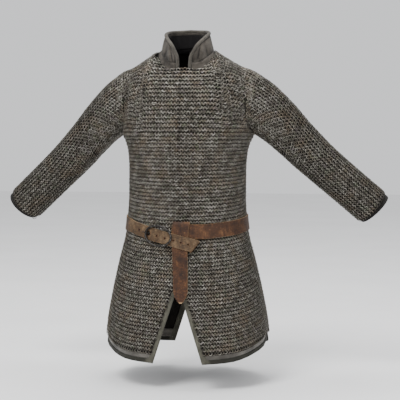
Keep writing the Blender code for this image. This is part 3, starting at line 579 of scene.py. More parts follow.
def place_rings(line, below, above, steps, first_phase, end, odd, margins, nominal, row_gap):
    """Rings along one row, at whole or half steps of its phase; the last few are fitted to its end."""
    step = np.linalg.norm(np.diff(line, axis=0), axis=1)
    run = np.concatenate([[0.0], np.cumsum(step)])
    raw = first_phase + np.concatenate([[0.0], np.cumsum(steps)])
    phase = raw
    if end is not None:
        phase = raw + (round(raw[-1] - end) + end - raw[-1]) * ease((raw - raw[-1]) / 6.0 + 1.0)
    start = math.ceil(phase[0] + margins[0] - 0.5 * odd - 1e-6) + 0.5 * odd
    wanted = np.arange(start, phase[-1] - margins[1] + 1e-6, 1.0)
    if not len(wanted):
        return None
    place = np.interp(wanted, phase, run)
    pitch = np.interp(wanted + 0.5, phase, run) - np.interp(wanted - 0.5, phase, run)
    pitch = np.maximum(pitch, nominal * 0.6)

    place = place + np.maximum(wanted - phase[-1], 0.0) * nominal

    def read(points, at):
        tail = points[-1] - points[-2]
        tail = tail / max(float(np.linalg.norm(tail)), 1e-9)
        inside = np.column_stack([np.interp(at, run, points[:, k]) for k in range(3)])
        return inside + np.maximum(at - run[-1], 0.0)[:, None] * tail

    centre = read(line, place)
    near = np.clip(place - 0.004, 0, run[-1] - 0.004)
    along = read(line, near + 0.008) - read(line, near)
    along = along / np.linalg.norm(along, axis=1)[:, None]
    rise = read(above, place) - read(below, place)
    gap = np.linalg.norm(rise, axis=1) / row_gap
    out = np.cross(along, rise)
    out = out / np.linalg.norm(out, axis=1)[:, None]
    across = np.cross(out, along)
    signs = np.full(len(centre), 1.0 if odd else -1.0)
    wide = np.clip(pitch / RING_PITCH, 0.84, 1.08)
    tall = np.clip(gap / ROW_PITCH, 0.80, 1.18)
    lean = np.abs((along * rise).sum(axis=1)) / np.maximum(np.linalg.norm(rise, axis=1), 1e-9)
    sound = (lean < 0.75) & (gap > 0.5 * ROW_PITCH) & (gap < 2.0 * ROW_PITCH)
    return tuple(d[sound] for d in (centre, along, across, out, wide, tall, signs))


def read_rows(grid, at):
    """Rows of a grid of points read at fractional row numbers."""
    low = np.clip(np.floor(at).astype(int), 0, len(grid) - 2)
    mix = (at - low)[:, None, None]
    return grid[low] * (1 - mix) + grid[low + 1] * mix


def quarter_sheets(back):
    """Fine grids of a quarter of the shirt: hem to chest, and chest to shoulder."""
    shares = np.linspace(0, 1, ROW_SAMPLES)
    low = []
    for mix in np.linspace(0, 1, 50):
        row = []
        for share in shares:
            height = mail_hem(share) + (CHEST_Z - mail_hem(share)) * mix
            row.append(body_point(2.0 - share if back else share, height))
        low.append(row)
    high = [[upper_point(share, rise, back) for share in shares] for rise in np.linspace(0, 1, 36)]
    return np.array(low), np.array(high)


def shoulder_drop(x, height):
    """How far a row of rings sags at x, growing from none at the chest to the shoulder's own slope."""
    seam = SHOULDER_SAG * np.minimum(np.abs(x), 0.200) ** 2
    return seam * np.clip((height - CHEST_Z) / (-0.040 - CHEST_Z), 0.0, 1.0)


def high_lines(high):
    """Rows over the chest and shoulder, each with how far it runs over the neckline at each sample."""
    level = high[:, :, 2] + shoulder_drop(high[:, :, 0], high[:, :, 2])
    level = np.maximum.accumulate(level, axis=0) + np.arange(len(high))[:, None] * 1e-7
    guide = int(round(0.56 * (ROW_SAMPLES - 1)))
    arc = np.concatenate([[0.0], np.cumsum(np.linalg.norm(np.diff(high[:, guide], axis=0), axis=1))])
    rows = int(round(arc[-1] / ROW_PITCH))
    shares = np.linspace(0, 1, ROW_SAMPLES)
    run = np.cumsum(np.linalg.norm(np.diff(high, axis=0), axis=2), axis=0)
    run = np.concatenate([np.zeros((1, ROW_SAMPLES)), run])
    reach = np.interp(level[-1], level[:, guide], arc / arc[-1])
    even = np.interp(run / run[-1] * reach, arc / arc[-1], level[:, guide])
    blend = ease(shares / NECK_SHARE)
    level = level * (1 - blend) + even * blend
    top = level[-1].max()
    marks = np.interp((np.arange(rows + 1) + 0.5) / rows * arc[-1], arc, level[:, guide])
    marks = list(marks[:-1])
    while marks[-1] + 0.0044 < top:
        marks.append(marks[-1] + 0.0044)
    marks = [2 * marks[0] - marks[1]] + marks + [2 * marks[-1] - marks[-2]]
    lines = []
    for mark in marks:
        line = np.empty((ROW_SAMPLES, 3))
        for j in range(ROW_SAMPLES):
            column = level[:, j]
            for k in range(3):
                line[j, k] = np.interp(mark, column, high[:, j, k])
            up = high[-1, j] - high[-3, j]
            start = high[2, j] - high[0, j]
            line[j] += up / np.linalg.norm(up) * np.clip(mark - column[-1], 0.0, ROW_PITCH)
            line[j] += start / np.linalg.norm(start) * np.clip(mark - column[0], -ROW_PITCH, 0.0)
        lines.append((line, mark - level[-1]))
    return lines


def quarter_rings(back):
    low, high = quarter_sheets(back)
    rings = []
    for i in range(LOW_ROWS):
        at = np.array([i - 0.5, i + 0.5, i + 1.5]) / LOW_ROWS * (len(low) - 1)
        below, line, above = read_rows(low, np.clip(at, 0, len(low) - 1))
        mix = (i + 0.5) / LOW_ROWS
        nominal = SKIRT_PITCH + (RING_PITCH - SKIRT_PITCH) * ease((mix - 0.45) / 0.5)
        spans = np.linalg.norm(np.diff(line, axis=0), axis=1) / nominal
        gap = 2 if 0 < i < LOW_ROWS - 1 else 1.5
        rings.append(place_rings(line, below, above, spans, 0.0, 0.0, i % 2, (0.0, 0.25 if back else -0.1),
                                 nominal, gap))
    lines = high_lines(high)
    for i in range(1, len(lines) - 1):
        line, over = lines[i]
        below = lines[i - 1][0]
        above = lines[i + 1][0]
        good = np.flatnonzero(over <= 1e-6)
        if len(good) < 4:
            continue
        first = int(good[0])
        last = int(good[-1])
        fresh = np.linalg.norm(np.diff(line, axis=0), axis=1) / RING_PITCH
        spans = np.where(np.arange(ROW_SAMPLES - 1) >= first, fresh, spans)
        keep = slice(first, last + 1)
        end = 0.2 if last == ROW_SAMPLES - 1 else None
        ring = place_rings(line[keep], below[keep], above[keep], spans[first:last], float(spans[:first].sum()),
                           end, (i - 1 + LOW_ROWS) % 2, (0.0 if first == 0 else 0.1, -0.6), RING_PITCH, 2.0)
        if ring is not None:
            rings.append(ring)
    return rings


def mirrored_rings(rings):
    out = []
    for centre, along, across, normal, wide, tall, signs in rings:
        keep = np.abs(centre[:, 0]) > 0.0012
        data = (mirror(centre), mirror(along), mirror(across), mirror(normal), wide, tall, signs)
        out.append(tuple(d[keep] for d in data))
    return out


def sink(rings, depth):
    return [(r[0] - r[3] * depth,) + tuple(r[1:]) for r in rings]


def clear_of_slit(rings):
    out = []
    for ring in rings:
        edge = np.array([slit_half_width(z) for z in ring[0][:, 2]])
        keep = (np.abs(ring[0][:, 0]) > edge + RING_RADIUS * 0.25) | (edge <= 0)
        out.append(tuple(d[keep] for d in ring))
    return out


def outward(rings, middle):
    """Turn the rings' frames so that each one's normal points away from the middle."""
    fixed = []
    for ring in rings:
        centre = ring[0]
        flip = np.where(((centre - middle(centre)) * ring[3]).sum(axis=1) < 0, -1.0, 1.0)[:, None]
        fixed.append((centre, ring[1] * flip, ring[2], ring[3] * flip) + tuple(ring[4:]))
    return fixed


def build_mail_rings(material):
    for back in (False, True):
        rings = clear_of_slit(quarter_rings(back))
        rings = outward(rings, lambda c: c * [0.3, 0.3, 1.0] - [0, 0, 0.07])
        left = sink(rings, RING_DEPTH)
        side = "back" if back else "front"
        for hand, these in (("left", left), ("right", mirrored_rings(left))):
            thing = rings_object("rings_" + side + "_" + hand, these, material, 11 if back else 7,
                                 flip=hand == "right")
            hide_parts("mail_" + side)


def sleeve_lines():
    """Lines along the left sleeve at even steps round it from its top; rows past the underarm end there."""
    grid = sleeve_grid()
    sections = read_rows(grid, np.linspace(0, len(grid) - 1, 70))
    closed = np.concatenate([sections, sections[:, :1]], axis=1)
    half = ROW_PITCH * 52
    marks = np.arange(-half, half + ROW_PITCH / 2, ROW_PITCH)
    lines = np.full((len(marks), len(closed), 3), np.nan)
    for a, ring in enumerate(closed):
        run = np.concatenate([[0.0], np.cumsum(np.linalg.norm(np.diff(ring, axis=0), axis=1))])
        girth = run[-1]
        for m, mark in enumerate(marks):
            if abs(mark) <= girth / 2 + ROW_PITCH * 0.1:
                lines[m, a] = [np.interp(mark % girth, run, ring[:, k]) for k in range(3)]
    return marks, lines, closed


def build_sleeve_rings(material):
    marks, lines, closed = sleeve_lines()
    centres = closed[:, :-1].mean(axis=1)

    def middle(points):
        near = np.argmin(np.linalg.norm(points[:, None] - centres[None], axis=2), axis=1)
        return centres[near]

    rings = []
    for m in range(len(marks)):
        good = ~np.isnan(lines[m, :, 0])
        if good.sum() < 6:
            continue
        end = int(np.argmin(good)) if not good.all() else len(good)
        line = lines[m, :end][::-1]
        near = lines[max(m - 1, 0), :end][::-1]
        far = lines[min(m + 1, len(marks) - 1), :end][::-1]
        near = np.where(np.isnan(near), line, near)
        far = np.where(np.isnan(far), line, far)
        near_gap = np.linalg.norm(far - near, axis=1)
        if near_gap.min() < 1e-5:
            far = np.where(near_gap[:, None] < 1e-5, line + 1e-4, far)
        spans = np.full(len(line) - 1, SLEEVE_RINGS / (len(closed) - 1.0))
        start = SLEEVE_RINGS - spans.sum() if end < len(good) else 0.0
        gap = 2.0 if 0 < m < len(marks) - 1 else 1.0
        ring = place_rings(line, near, far, spans, start, None, m % 2, (0.70, -0.85), RING_PITCH, gap)
        if ring is not None:
            rings.append(ring)
    rings = sink(outward(rings, middle), RING_DEPTH)
    for hand, these in (("left", rings), ("right", mirrored_rings(rings))):
        thing = rings_object("rings_sleeve_" + hand, these, material, 23, flip=hand == "right")
        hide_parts("mail_sleeve_" + hand)


def build_loose_ring(material, sleeve):
    """One ring that has come open at the right cuff and hangs from its edge."""
    rim = mirror(sleeve[0][-1])
    low = rim[int(np.argmin(rim[:, 2] + 0.4 * rim[:, 0]))]
    centre = low + np.array([0.0015, -0.0030, 0.0030])
    turns = np.linspace(0.35, 2 * math.pi - 0.1, 26)
    path = [centre + 0.0056 * np.array([math.cos(a), 0.25 * math.sin(a), 0.75 * math.sin(a)]) for a in turns]
    points, faces = tube(path, 0.00075, sides=8, out=[(0.1, -1.0, 0.1)] * len(path))
    thing = make_object("rings_loose", points, faces, material)
    # The loose ring gets one fixed value of painted light and shade, near the light end.
    for name_of, value in (("ring_shade", 0.9), ("ring_light_and_shade", 0.85)):
        layer = thing.data.attributes.new(name_of, "FLOAT", "POINT")
        layer.data.foreach_set("value", np.full(len(points), value))


def weld_normals(grids):
    """Normals of point grids that share edges, averaged where their points meet."""
    total = {}
    keys = []
    for grid, faces in grids:
        flat = grid.reshape(-1, 3)
        key = [tuple(np.round(p / 2e-5).astype(int)) for p in flat]
        keys.append(key)
        for face in faces:
            a, b, c, d = [flat[i] for i in face]
            normal = np.cross(c - a, d - b)
            for i in face:
                total[key[i]] = total.get(key[i], 0) + normal
    out = []
    for (grid, faces), key in zip(grids, keys):
        flat = np.array([total[k] / max(np.linalg.norm(total[k]), 1e-12) for k in key])
        out.append(flat.reshape(grid.shape))
    return out


def thicken(outer, inner, faces):
    """Closed wall between two copies of a sheet of faces."""
    count = len(outer)
    solid = list(faces)
    solid += [tuple(i + count for i in face[::-1]) for face in faces]
    edges = {}
    for face in faces:
        for a, b in zip(face, face[1:] + face[:1]):
            edges[(a, b)] = True
    for a, b in edges:
        if (b, a) not in edges:
            solid.append((b, a, a + count, b + count))
    points = np.vstack([outer, inner])
    used = sorted({i for face in solid for i in face})
    place = {old: new for new, old in enumerate(used)}
    return points[used], [tuple(place[i] for i in face) for face in solid]


def inset(grid, top=True, side=True, bottom=False, closed=False, amount=SEAM_GAP):
    """Draw a grid's seam edges in by half a seam gap."""
    out = grid.copy()
    if side and not closed:
        step = grid[:, -2] - grid[:, -1]
        out[:, -1] += amount * step / np.linalg.norm(step, axis=1)[:, None]
    if top:
        step = out[-2] - out[-1]
        out[-1] += amount * step / np.linalg.norm(step, axis=1)[:, None]
    if bottom:
        step = out[1] - out[0]
        out[0] += amount * step / np.linalg.norm(step, axis=1)[:, None]
    return out


def split_panel(half, slit_rows):
    """Left half and its mirror joined on the centre line above the slit."""
    rows, columns, _ = half.shape
    left = half.reshape(-1, 3)
    right = mirror(left)
    faces = grid_faces(rows, columns)
    count = len(left)
    twin = {}
    for i in range(rows):
        for j in range(columns):
            index = i * columns + j
            twin[index] = index if (j == 0 and i >= slit_rows) else index + count
    faces += [tuple(twin[i] for i in face[::-1]) for face in faces]
    points = np.vstack([left, right])
    return points, faces


def body_normal(place, height):
    """Outward direction of the body at a place, from the slope of its sections."""
    low = max(place - 0.02, 0.0)
    high = min(place + 0.02, 2.0)
    along = body_point(high, height) - body_point(low, height)
    up = body_point(place, height + 0.004) - body_point(place, height - 0.004)
    normal = np.cross(along, up)
    return normal / np.linalg.norm(normal)


def on_body(place, height, out):
    """Point out from the body; a place below 0 or above 2 lies on the wearer's right."""
    turn = (place + 2.0) % 4.0 - 2.0
    point = body_point(abs(turn), height) + out * body_normal(abs(turn), height)
    return point if turn >= 0 else mirror(point)


def on_front(x, height, out):
    place = float(place_of_x(abs(x), height, False))
    return on_body(math.copysign(place, x), height, out)


def sheet_between(first_edge, last_edge, steps, back):
    """Grid of body points and normals between two lists of (place, height) edge points."""
    points = []
    normals = []
    for i in range(steps + 1):
        mix = i / steps
        row = [(a[0] + (b[0] - a[0]) * mix, a[1] + (b[1] - a[1]) * mix)
               for a, b in zip(first_edge, last_edge)]
        row = [(2.0 - p if back else p, h) for p, h in row]
        points.append([body_point(p, h) for p, h in row])
        normals.append([body_normal(p, h) for p, h in row])
    return np.array(points), np.array(normals)


def hem_edges():
    """Edges of the hem cloth and of the binding, as (place, height), from slit to side seam."""
    far = 1.0 - 0.0012
    cloth_top = []
    cloth_low = []
    bind_in = []
    bind_out = []
    start = 0.2
    for i in range(6):
        corner = mail_hem(start) - HEM_CLOTH_WIDTH
        start = float(place_of_x(slit_half_width(corner) + SLIT_LAP, corner, False))
    for i in range(9):
        down = i / 8
        height = SLIT_TOP_Z + 0.006 + (corner - SEAM_GAP - SLIT_TOP_Z - 0.006) * down
        mail = slit_half_width(height)
        bind_in.append((float(place_of_x(mail + SLIT_LAP, height, False)), height))
        low = height - BINDING_WIDTH * down**4
        edge = max(slit_half_width(low) - BINDING_WIDTH, SEAM_GAP)
        bind_out.append((float(place_of_x(edge, low, False)), low))
    for i in range(11):
        place = start + (far - start) * i / 10
        height = mail_hem(place)
        line = height - HEM_CLOTH_WIDTH
        cloth_top.append((place, height + UNDER_LAP))
        cloth_low.append((place, line))
        if i > 0:
            bind_in.append((place, line - 2 * SEAM_GAP))
            bind_out.append((place, line - BINDING_WIDTH))
    top_edge = float(place_of_x(slit_half_width(cloth_top[0][1]) + SLIT_LAP + 0.001, cloth_top[0][1], False))
    cloth_top[0] = (top_edge, cloth_top[0][1])
    cloth_low[0] = (start + 0.004, cloth_low[0][1])
    return cloth_top, cloth_low, bind_in, bind_out


def collar_point(angle, height):
    """Point of the collar's outer face, which leans in as it rises."""
    turn = math.radians(angle)
    base = float(smooth(COLLAR_BASE, BASE_COLUMNS, "angle", "height", angle))
    lean = COLLAR_LEAN_IN * max(height - base, -0.004)
    end_y = COLLAR_BACK_Y if angle > 90 else COLLAR_FRONT_Y
    half = COLLAR_HALF_WIDTH - lean
    x = half * math.sin(turn)
    shrink = 1 - 0.45 * lean / COLLAR_HALF_WIDTH
    return np.array([x, end_y * abs(math.cos(turn)) * shrink, height])


def roll_height(angle):
    return float(smooth(COLLAR_ROLL, ROLL_COLUMNS, "angle", "height", min(angle, 360.0 - angle)))


def both_sides(rows):
    """Rows from the front round one side to centre back, carried on round the other side."""
    rows = np.array(rows)
    return np.concatenate([rows, mirror(rows[:, -2::-1])], axis=1)


def sheet_normals(grid):
    across = np.gradient(grid, axis=1)
    along = np.gradient(grid, axis=0)
    normal = np.cross(across, along)
    return normal / np.linalg.norm(normal, axis=2)[:, :, None]


def tube(path, radius, sides=10, flatten=1.0, out=None):
    """Closed-ended tube along a path; radius is one value or one a point."""
    path = np.array(path)
    radius = np.broadcast_to(radius, len(path))
    points = []
    for i, centre in enumerate(path):
        step = path[min(i + 1, len(path) - 1)] - path[max(i - 1, 0)]
        step = step / np.linalg.norm(step)
        side = np.cross(step, out[i] if out is not None else (0.3, -0.9, 0.2))
        side = side / np.linalg.norm(side)
        up = np.cross(side, step)
        for k in range(sides):
            turn = 2 * math.pi * k / sides
            flat = side * math.cos(turn) + up * math.sin(turn) * flatten
            points.append(centre + radius[i] * flat)
    faces = grid_faces(len(path), sides, closed=True)
    faces.append(tuple(range(sides))[::-1])
    faces.append(tuple((len(path) - 1) * sides + k for k in range(sides)))
    return np.array(points), faces


def strap_row(top, low, layer):
    """Points across the strap, between two edge points given as (x, height) on the front."""
    mixes = [k / STRAP_STEPS for k in range(STRAP_STEPS + 1)]
    return [on_front(top[0] + (low[0] - top[0]) * m, top[1] + (low[1] - top[1]) * m, layer) for m in mixes]


def finer(rows, cuts):
    """Rows of a table with smooth rows added between them."""
    steps = ("step",) + tuple(range(len(rows[0])))
    table = [(float(i),) + tuple(row) for i, row in enumerate(rows)]
    marks = np.linspace(0.0, len(rows) - 1.0, (len(rows) - 1) * cuts + 1)
    columns = [smooth(table, steps, "step", k, marks) for k in range(len(rows[0]))]
    return np.column_stack(columns)


def belt_rows():
    """Rows of the whole strap, from its hidden end beside the ring to the tip of the tail."""
    half = LEATHER / 2
    out = []
    for place in np.linspace(0.0, WAIST_RUN[-1][0], WAIST_STEPS + 1):
        top, low, layer = [float(smooth(WAIST_RUN, WAIST_COLUMNS, "place", n, place))
                           for n in ("top", "bottom", "layer")]
        heights = [top + (low - top) * k / STRAP_STEPS for k in range(STRAP_STEPS + 1)]
        out.append([on_body(place, height, layer + half) for height in heights])
    for top_x, top_z, low_x, low_z, layer in finer(END_RUN, 3):
        out.append(strap_row((top_x, top_z), (low_x, low_z), layer + half))
    fold = np.array(FOLD_TOP) - np.array(FOLD_BOTTOM)
    away = np.array([fold[1], -fold[0]]) / np.linalg.norm(fold)
    near = END_RUN[-1][4] + half
    far = BEHIND_RUN[0][4] + half
    for k in range(1, 8):
        turn = math.pi * k / 8
        layer = (near + far) / 2 + (near - far) / 2 * math.cos(turn)
        push = away * (near - far) / 2 * math.sin(turn)
        out.append(strap_row(FOLD_TOP + push, FOLD_BOTTOM + push, layer))
    for top_x, top_z, low_x, low_z, layer in finer(BEHIND_RUN, 2):
        out.append(strap_row((top_x, top_z), (low_x, low_z), layer + half))
    near = BEHIND_RUN[-1][4] + half
    far = LAYER_WRAP + half
    for k in range(1, 6):
        turn = math.pi * k / 6
        layer = (near + far) / 2 - (far - near) / 2 * math.cos(turn)
        height = WRAP_TOP + (far - near) / 2 * math.sin(turn)
        out.append(strap_row((0.0270, height), (-0.0165, height), layer))
    for top_x, top_z, low_x, low_z, layer in TAIL_RUN:
        out.append(strap_row((top_x, top_z), (low_x, low_z), layer + half))
    return out


def end_layer(x):
    """Layer of the belt end's inner face at x along its centre line."""
    middle = [((r[0] + r[2]) / 2, r[4]) for r in finer(END_RUN, 3)]
    return float(np.interp(x, [m[0] for m in middle], [m[1] for m in middle]))


def wall_object(name, outer, normal, faces, near, far, material):
    """Wall whose outer side lies near inside the given sheet, and inner side far inside it."""
    points, solid = thicken(outer - normal * near, outer - normal * far, faces)
    return make_object(name, points, solid, material)


# Node materials
class Paint:
    """Short hand for building one material's node tree."""

    def __init__(self, name, roughness=0.6, metallic=0.0):
        self.material = bpy.data.materials.new(name)
        self.material.use_nodes = True
        self.nodes = self.material.node_tree.nodes
        self.links = self.material.node_tree.links
        self.shader = self.nodes["Principled BSDF"]
        self.shader.inputs["Roughness"].default_value = roughness
        self.shader.inputs["Metallic"].default_value = metallic
        self.where = self.nodes.new("ShaderNodeTexCoord").outputs["Object"]

    def noise(self, scale, detail=3.0, rough=0.55, stretch=None):
        node = self.nodes.new("ShaderNodeTexNoise")
        node.inputs["Scale"].default_value = scale
        node.inputs["Detail"].default_value = detail
        node.inputs["Roughness"].default_value = rough
        where = self.where
        if stretch:
            where = self.stretched(stretch)
        self.links.new(where, node.inputs["Vector"])
        return node.outputs["Fac"]

    def stretched(self, scale, turn=(0.0, 0.0, 0.0)):
        node = self.nodes.new("ShaderNodeMapping")
        node.inputs["Scale"].default_value = scale
        node.inputs["Rotation"].default_value = turn
        self.links.new(self.where, node.inputs["Vector"])
        return node.outputs["Vector"]

    def wave(self, scale, axis="Z", distortion=1.0, turn=(0.0, 0.0, 0.0)):
        node = self.nodes.new("ShaderNodeTexWave")
        node.bands_direction = axis
        node.inputs["Scale"].default_value = scale
        node.inputs["Distortion"].default_value = distortion
        node.inputs["Detail"].default_value = 2.0
        node.inputs["Detail Scale"].default_value = 1.5
        self.links.new(self.stretched((1.0, 1.0, 1.0), turn), node.inputs["Vector"])
        return node.outputs["Fac"]

    def attribute(self, name):
        node = self.nodes.new("ShaderNodeAttribute")
        node.attribute_name = name
        return node.outputs["Fac"]

    def ramp(self, value, stops):
        node = self.nodes.new("ShaderNodeValToRGB")
        ramp = node.color_ramp
        ramp.elements[0].position = stops[0][0]
        ramp.elements[0].color = (*stops[0][1], 1.0)
        ramp.elements[1].position = stops[-1][0]
        ramp.elements[1].color = (*stops[-1][1], 1.0)
        for place, colour in stops[1:-1]:
            ramp.elements.new(place).color = (*colour, 1.0)
        self.links.new(value, node.inputs["Fac"])
        return node.outputs["Color"]

    def grey(self, value, low, high, start=0.3, end=0.7):
        return self.ramp(value, ((start, (low,) * 3), (end, (high,) * 3)))

    def mix(self, one, two, share, kind="MIX"):
        node = self.nodes.new("ShaderNodeMix")
        node.data_type = "RGBA"
        node.blend_type = kind
        for socket, value in (("Factor_Float", share), ("A_Color", one), ("B_Color", two)):
            target = next(s for s in node.inputs if s.identifier == socket)
            if isinstance(value, (int, float)):
                target.default_value = value
            elif isinstance(value, tuple):
                target.default_value = (*value, 1.0)
            else:
                self.links.new(value, target)
        return next(s for s in node.outputs if s.identifier == "Result_Color")

    def sum(self, one, two, kind="ADD"):
        node = self.nodes.new("ShaderNodeMath")
        node.operation = kind
        for target, value in zip(node.inputs, (one, two)):
            if isinstance(value, (int, float)):
                target.default_value = value
            else:
                self.links.new(value, target)
        return node.outputs["Value"]

    def colour(self, value):
        self.links.new(value, self.shader.inputs["Base Color"])

    def set(self, socket, value):
        self.links.new(value, self.shader.inputs[socket])

    def bump(self, value, strength, distance):
        node = self.nodes.new("ShaderNodeBump")
        node.inputs["Strength"].default_value = strength
        node.inputs["Distance"].default_value = distance
        self.links.new(value, node.inputs["Height"])
        self.links.new(node.outputs["Normal"], self.shader.inputs["Normal"])


def mail_material():
    paint = Paint("mail_rings", metallic=0.82)
    shade = paint.attribute("ring_shade")
    grain = paint.noise(900.0, 2.0)
    base = paint.ramp(shade, ((0.0, (0.062, 0.054, 0.043)), (0.30, (0.112, 0.102, 0.086)),
                              (0.7, (0.160, 0.150, 0.130)), (1.0, (0.270, 0.258, 0.230))))
    patch = paint.noise(26.0, 3.0)
    base = paint.mix(base, (0.200, 0.150, 0.100), paint.grey(patch, 0.0, 0.45, 0.48, 0.70))
    green = paint.noise(60.0, 2.0, stretch=(1.0, 1.3, 0.8))
    base = paint.mix(base, (0.150, 0.185, 0.120), paint.grey(green, 0.0, 0.35, 0.55, 0.72))
    purple = paint.noise(85.0, 2.0, stretch=(1.2, 0.9, 1.1))
    base = paint.mix(base, (0.235, 0.185, 0.215), paint.grey(purple, 0.0, 0.35, 0.56, 0.74))
    base = paint.mix(base, paint.grey(grain, 0.55, 1.0), 0.5, "MULTIPLY")
    # Painted light and shade from ring_light_and_shade: the sunk parts of each ring darker, the parts that stand out
    # lighter.
    tone = paint.ramp(paint.attribute("ring_light_and_shade"), ((0.12, (0.14, 0.135, 0.13)), (0.5, (0.50, 0.49, 0.475)),
                                                     (0.9, (1.08, 1.08, 1.07))))
    base = paint.mix(base, tone, 1.0, "MULTIPLY")
    paint.colour(base)
    paint.set("Roughness", paint.grey(grain, 0.34, 0.56))
    paint.bump(grain, 0.25, 0.0004)
    return paint.material


def cloth_material(name, dark, light, weave=520.0, sheen=0.25, inside_shade=None, bump=0.5):
    paint = Paint(name, roughness=0.92)
    over = paint.wave(weave, "X", 1.2)
    under = paint.wave(weave, "Z", 1.2)
    threads = paint.sum(over, under, "MULTIPLY")
    tone_mask = paint.noise(32.0, 4.0)
    fluff = paint.noise(700.0, 3.0)
    base = paint.ramp(tone_mask, ((0.32, dark), (0.68, light)))
    base = paint.mix(base, paint.grey(threads, 0.62, 1.12, 0.05, 0.75), 0.55, "MULTIPLY")
    base = paint.mix(base, paint.grey(fluff, 0.72, 1.15), 0.5, "MULTIPLY")
    # Painted shade: painted_shade darkens the collar's folds, groove and foot and the binding's run along the hem;
    # inside paints the inner face near black as the shade inside the collar and yoke.
    if inside_shade:
        base = paint.mix(base, tuple(0.22 * part for part in dark), paint.attribute("painted_shade"))
        base = paint.mix(base, inside_shade, paint.attribute("inside"))
    paint.colour(base)
    paint.shader.inputs["Sheen Weight"].default_value = sheen
    paint.shader.inputs["Specular IOR Level"].default_value = 0.2
    paint.bump(paint.sum(threads, fluff), bump, 0.0008)
    return paint.material


def leather_material():
    paint = Paint("belt_leather", roughness=0.5)
    cells = paint.nodes.new("ShaderNodeTexVoronoi")
    cells.feature = "DISTANCE_TO_EDGE"
    cells.inputs["Scale"].default_value = 520.0
    paint.links.new(paint.where, cells.inputs["Vector"])
    grain = cells.outputs["Distance"]
    tone = paint.noise(42.0, 6.0, 0.72)
    scuff = paint.noise(170.0, 4.0, 0.7)
    fine = paint.noise(420.0, 3.0)
    base = paint.ramp(tone, ((0.34, (0.016, 0.0040, 0.0008)), (0.48, (0.042, 0.0120, 0.0022)),
                             (0.60, (0.078, 0.0255, 0.0050)), (0.78, (0.160, 0.063, 0.014))))
    pale = paint.ramp(tone, ((0.32, (0.026, 0.0130, 0.0050)), (0.50, (0.078, 0.0440, 0.0190)),
                             (0.68, (0.165, 0.108, 0.056))))
    base = paint.mix(base, pale, paint.attribute("tan"))
    base = paint.mix(base, (0.230, 0.128, 0.052), paint.grey(scuff, 0.0, 0.50, 0.60, 0.76))
    base = paint.mix(base, paint.grey(fine, 0.45, 1.30), 0.8, "MULTIPLY")
    base = paint.mix(base, paint.grey(scuff, 0.55, 1.35, 0.35, 0.65), 0.7, "MULTIPLY")
    base = paint.mix(base, paint.grey(grain, 0.45, 1.0, 0.0, 0.25), 0.5, "MULTIPLY")
    base = paint.mix(base, (0.360, 0.235, 0.125), paint.attribute("cut_edge"))
    paint.colour(base)
    paint.shader.inputs["Specular IOR Level"].default_value = 0.30
    paint.set("Roughness", paint.grey(fine, 0.52, 0.76))
    paint.bump(paint.sum(grain, scuff), 0.4, 0.0007)
    return paint.material


def steel_material():
    paint = Paint("buckle_steel", metallic=0.9)
    tone = paint.noise(140.0, 4.0)
    base = paint.ramp(tone, ((0.40, (0.022, 0.020, 0.019)), (0.60, (0.060, 0.056, 0.051)),
                             (0.80, (0.300, 0.285, 0.260))))
    paint.colour(base)
    paint.set("Roughness", paint.grey(paint.noise(420.0), 0.28, 0.52))
    paint.bump(tone, 0.3, 0.0006)
    return paint.material


def show(thing, slot, *nodes):
    if nodes:
        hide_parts(*nodes)
    return thing


def build_backing(material):
    """Thin layer behind the rings for the cloth under the mail, coloured near black as painted shade between the
    rings, so that no light comes through the mail.
    """
    front = panel_grid(False)
    back = panel_grid(True)
    sleeve = sleeve_grid()
    sheet = grid_faces(*front.shape[:2])
    ring = grid_faces(sleeve.shape[0], sleeve.shape[1], closed=True)
    mirrored = [(mirror(front), [f[::-1] for f in sheet]), (mirror(back), sheet)]
    grids = [(front, sheet), (back, [f[::-1] for f in sheet]), (sleeve, ring)] + mirrored
    normals = weld_normals(grids)
    made = {}
    for side, half, normal in (("front", front, normals[0]), ("back", back, normals[1])):
        for part in (half, normal):
            part[SKIRT_ROWS:, 0, 0] = 0.0
        half = inset(half)
        points, faces = split_panel(half, SKIRT_ROWS)
        directions, _ = split_panel(normal, SKIRT_ROWS)
        name = "backing_" + side
        made[name] = show(wall_object(name, points, directions, faces, BACKING_NEAR, BACKING_FAR, material),
                          "mail", "mail_" + side)
        made[side] = (half, normal)
    sleeve_out = inset(sleeve, top=False, side=False, bottom=True, closed=True, amount=5 * SEAM_GAP)
    made["sleeve"] = (sleeve_out, normals[2])
    for hand, flip in (("left", False), ("right", True)):
        points = sleeve_out.reshape(-1, 3)
        directions = normals[2].reshape(-1, 3)
        if flip:
            points = mirror(points)
            directions = mirror(directions)
        name = "backing_sleeve_" + hand
        made[name] = show(wall_object(name, points, directions, ring, BACKING_NEAR, BACKING_FAR, material),
                          "mail", "mail_sleeve_" + hand)
    return made


def refine(points, steps_along, steps_across):
    """Grid of points with straight steps put between its rows and columns."""
    points = np.asarray(points)
    for axis, steps in ((0, steps_along), (1, steps_across)):
        count = points.shape[axis]
        marks = np.linspace(0, count - 1, (count - 1) * steps + 1)
        low = np.minimum(np.floor(marks).astype(int), count - 2)
        mix = (marks - low).reshape((-1, 1, 1) if axis == 0 else (1, -1, 1))
        points = np.take(points, low, axis) * (1 - mix) + np.take(points, low + 1, axis) * mix
    return points


HEM_CORNER_LAP = 0.028


def shade_hem_binding(thing):
    """Mark a binding's run along the hem for painted shade; its run up the slit stays light."""
    dark = []
    for vertex in thing.data.vertices:
        from_slit = abs(vertex.co.x) - float(slit_half_width(vertex.co.z)) - 0.006
        dark.append(0.85 * float(ease(from_slit / 0.004)))
    thing.data.attributes.new("painted_shade", "FLOAT", "POINT").data.foreach_set("value", dark)


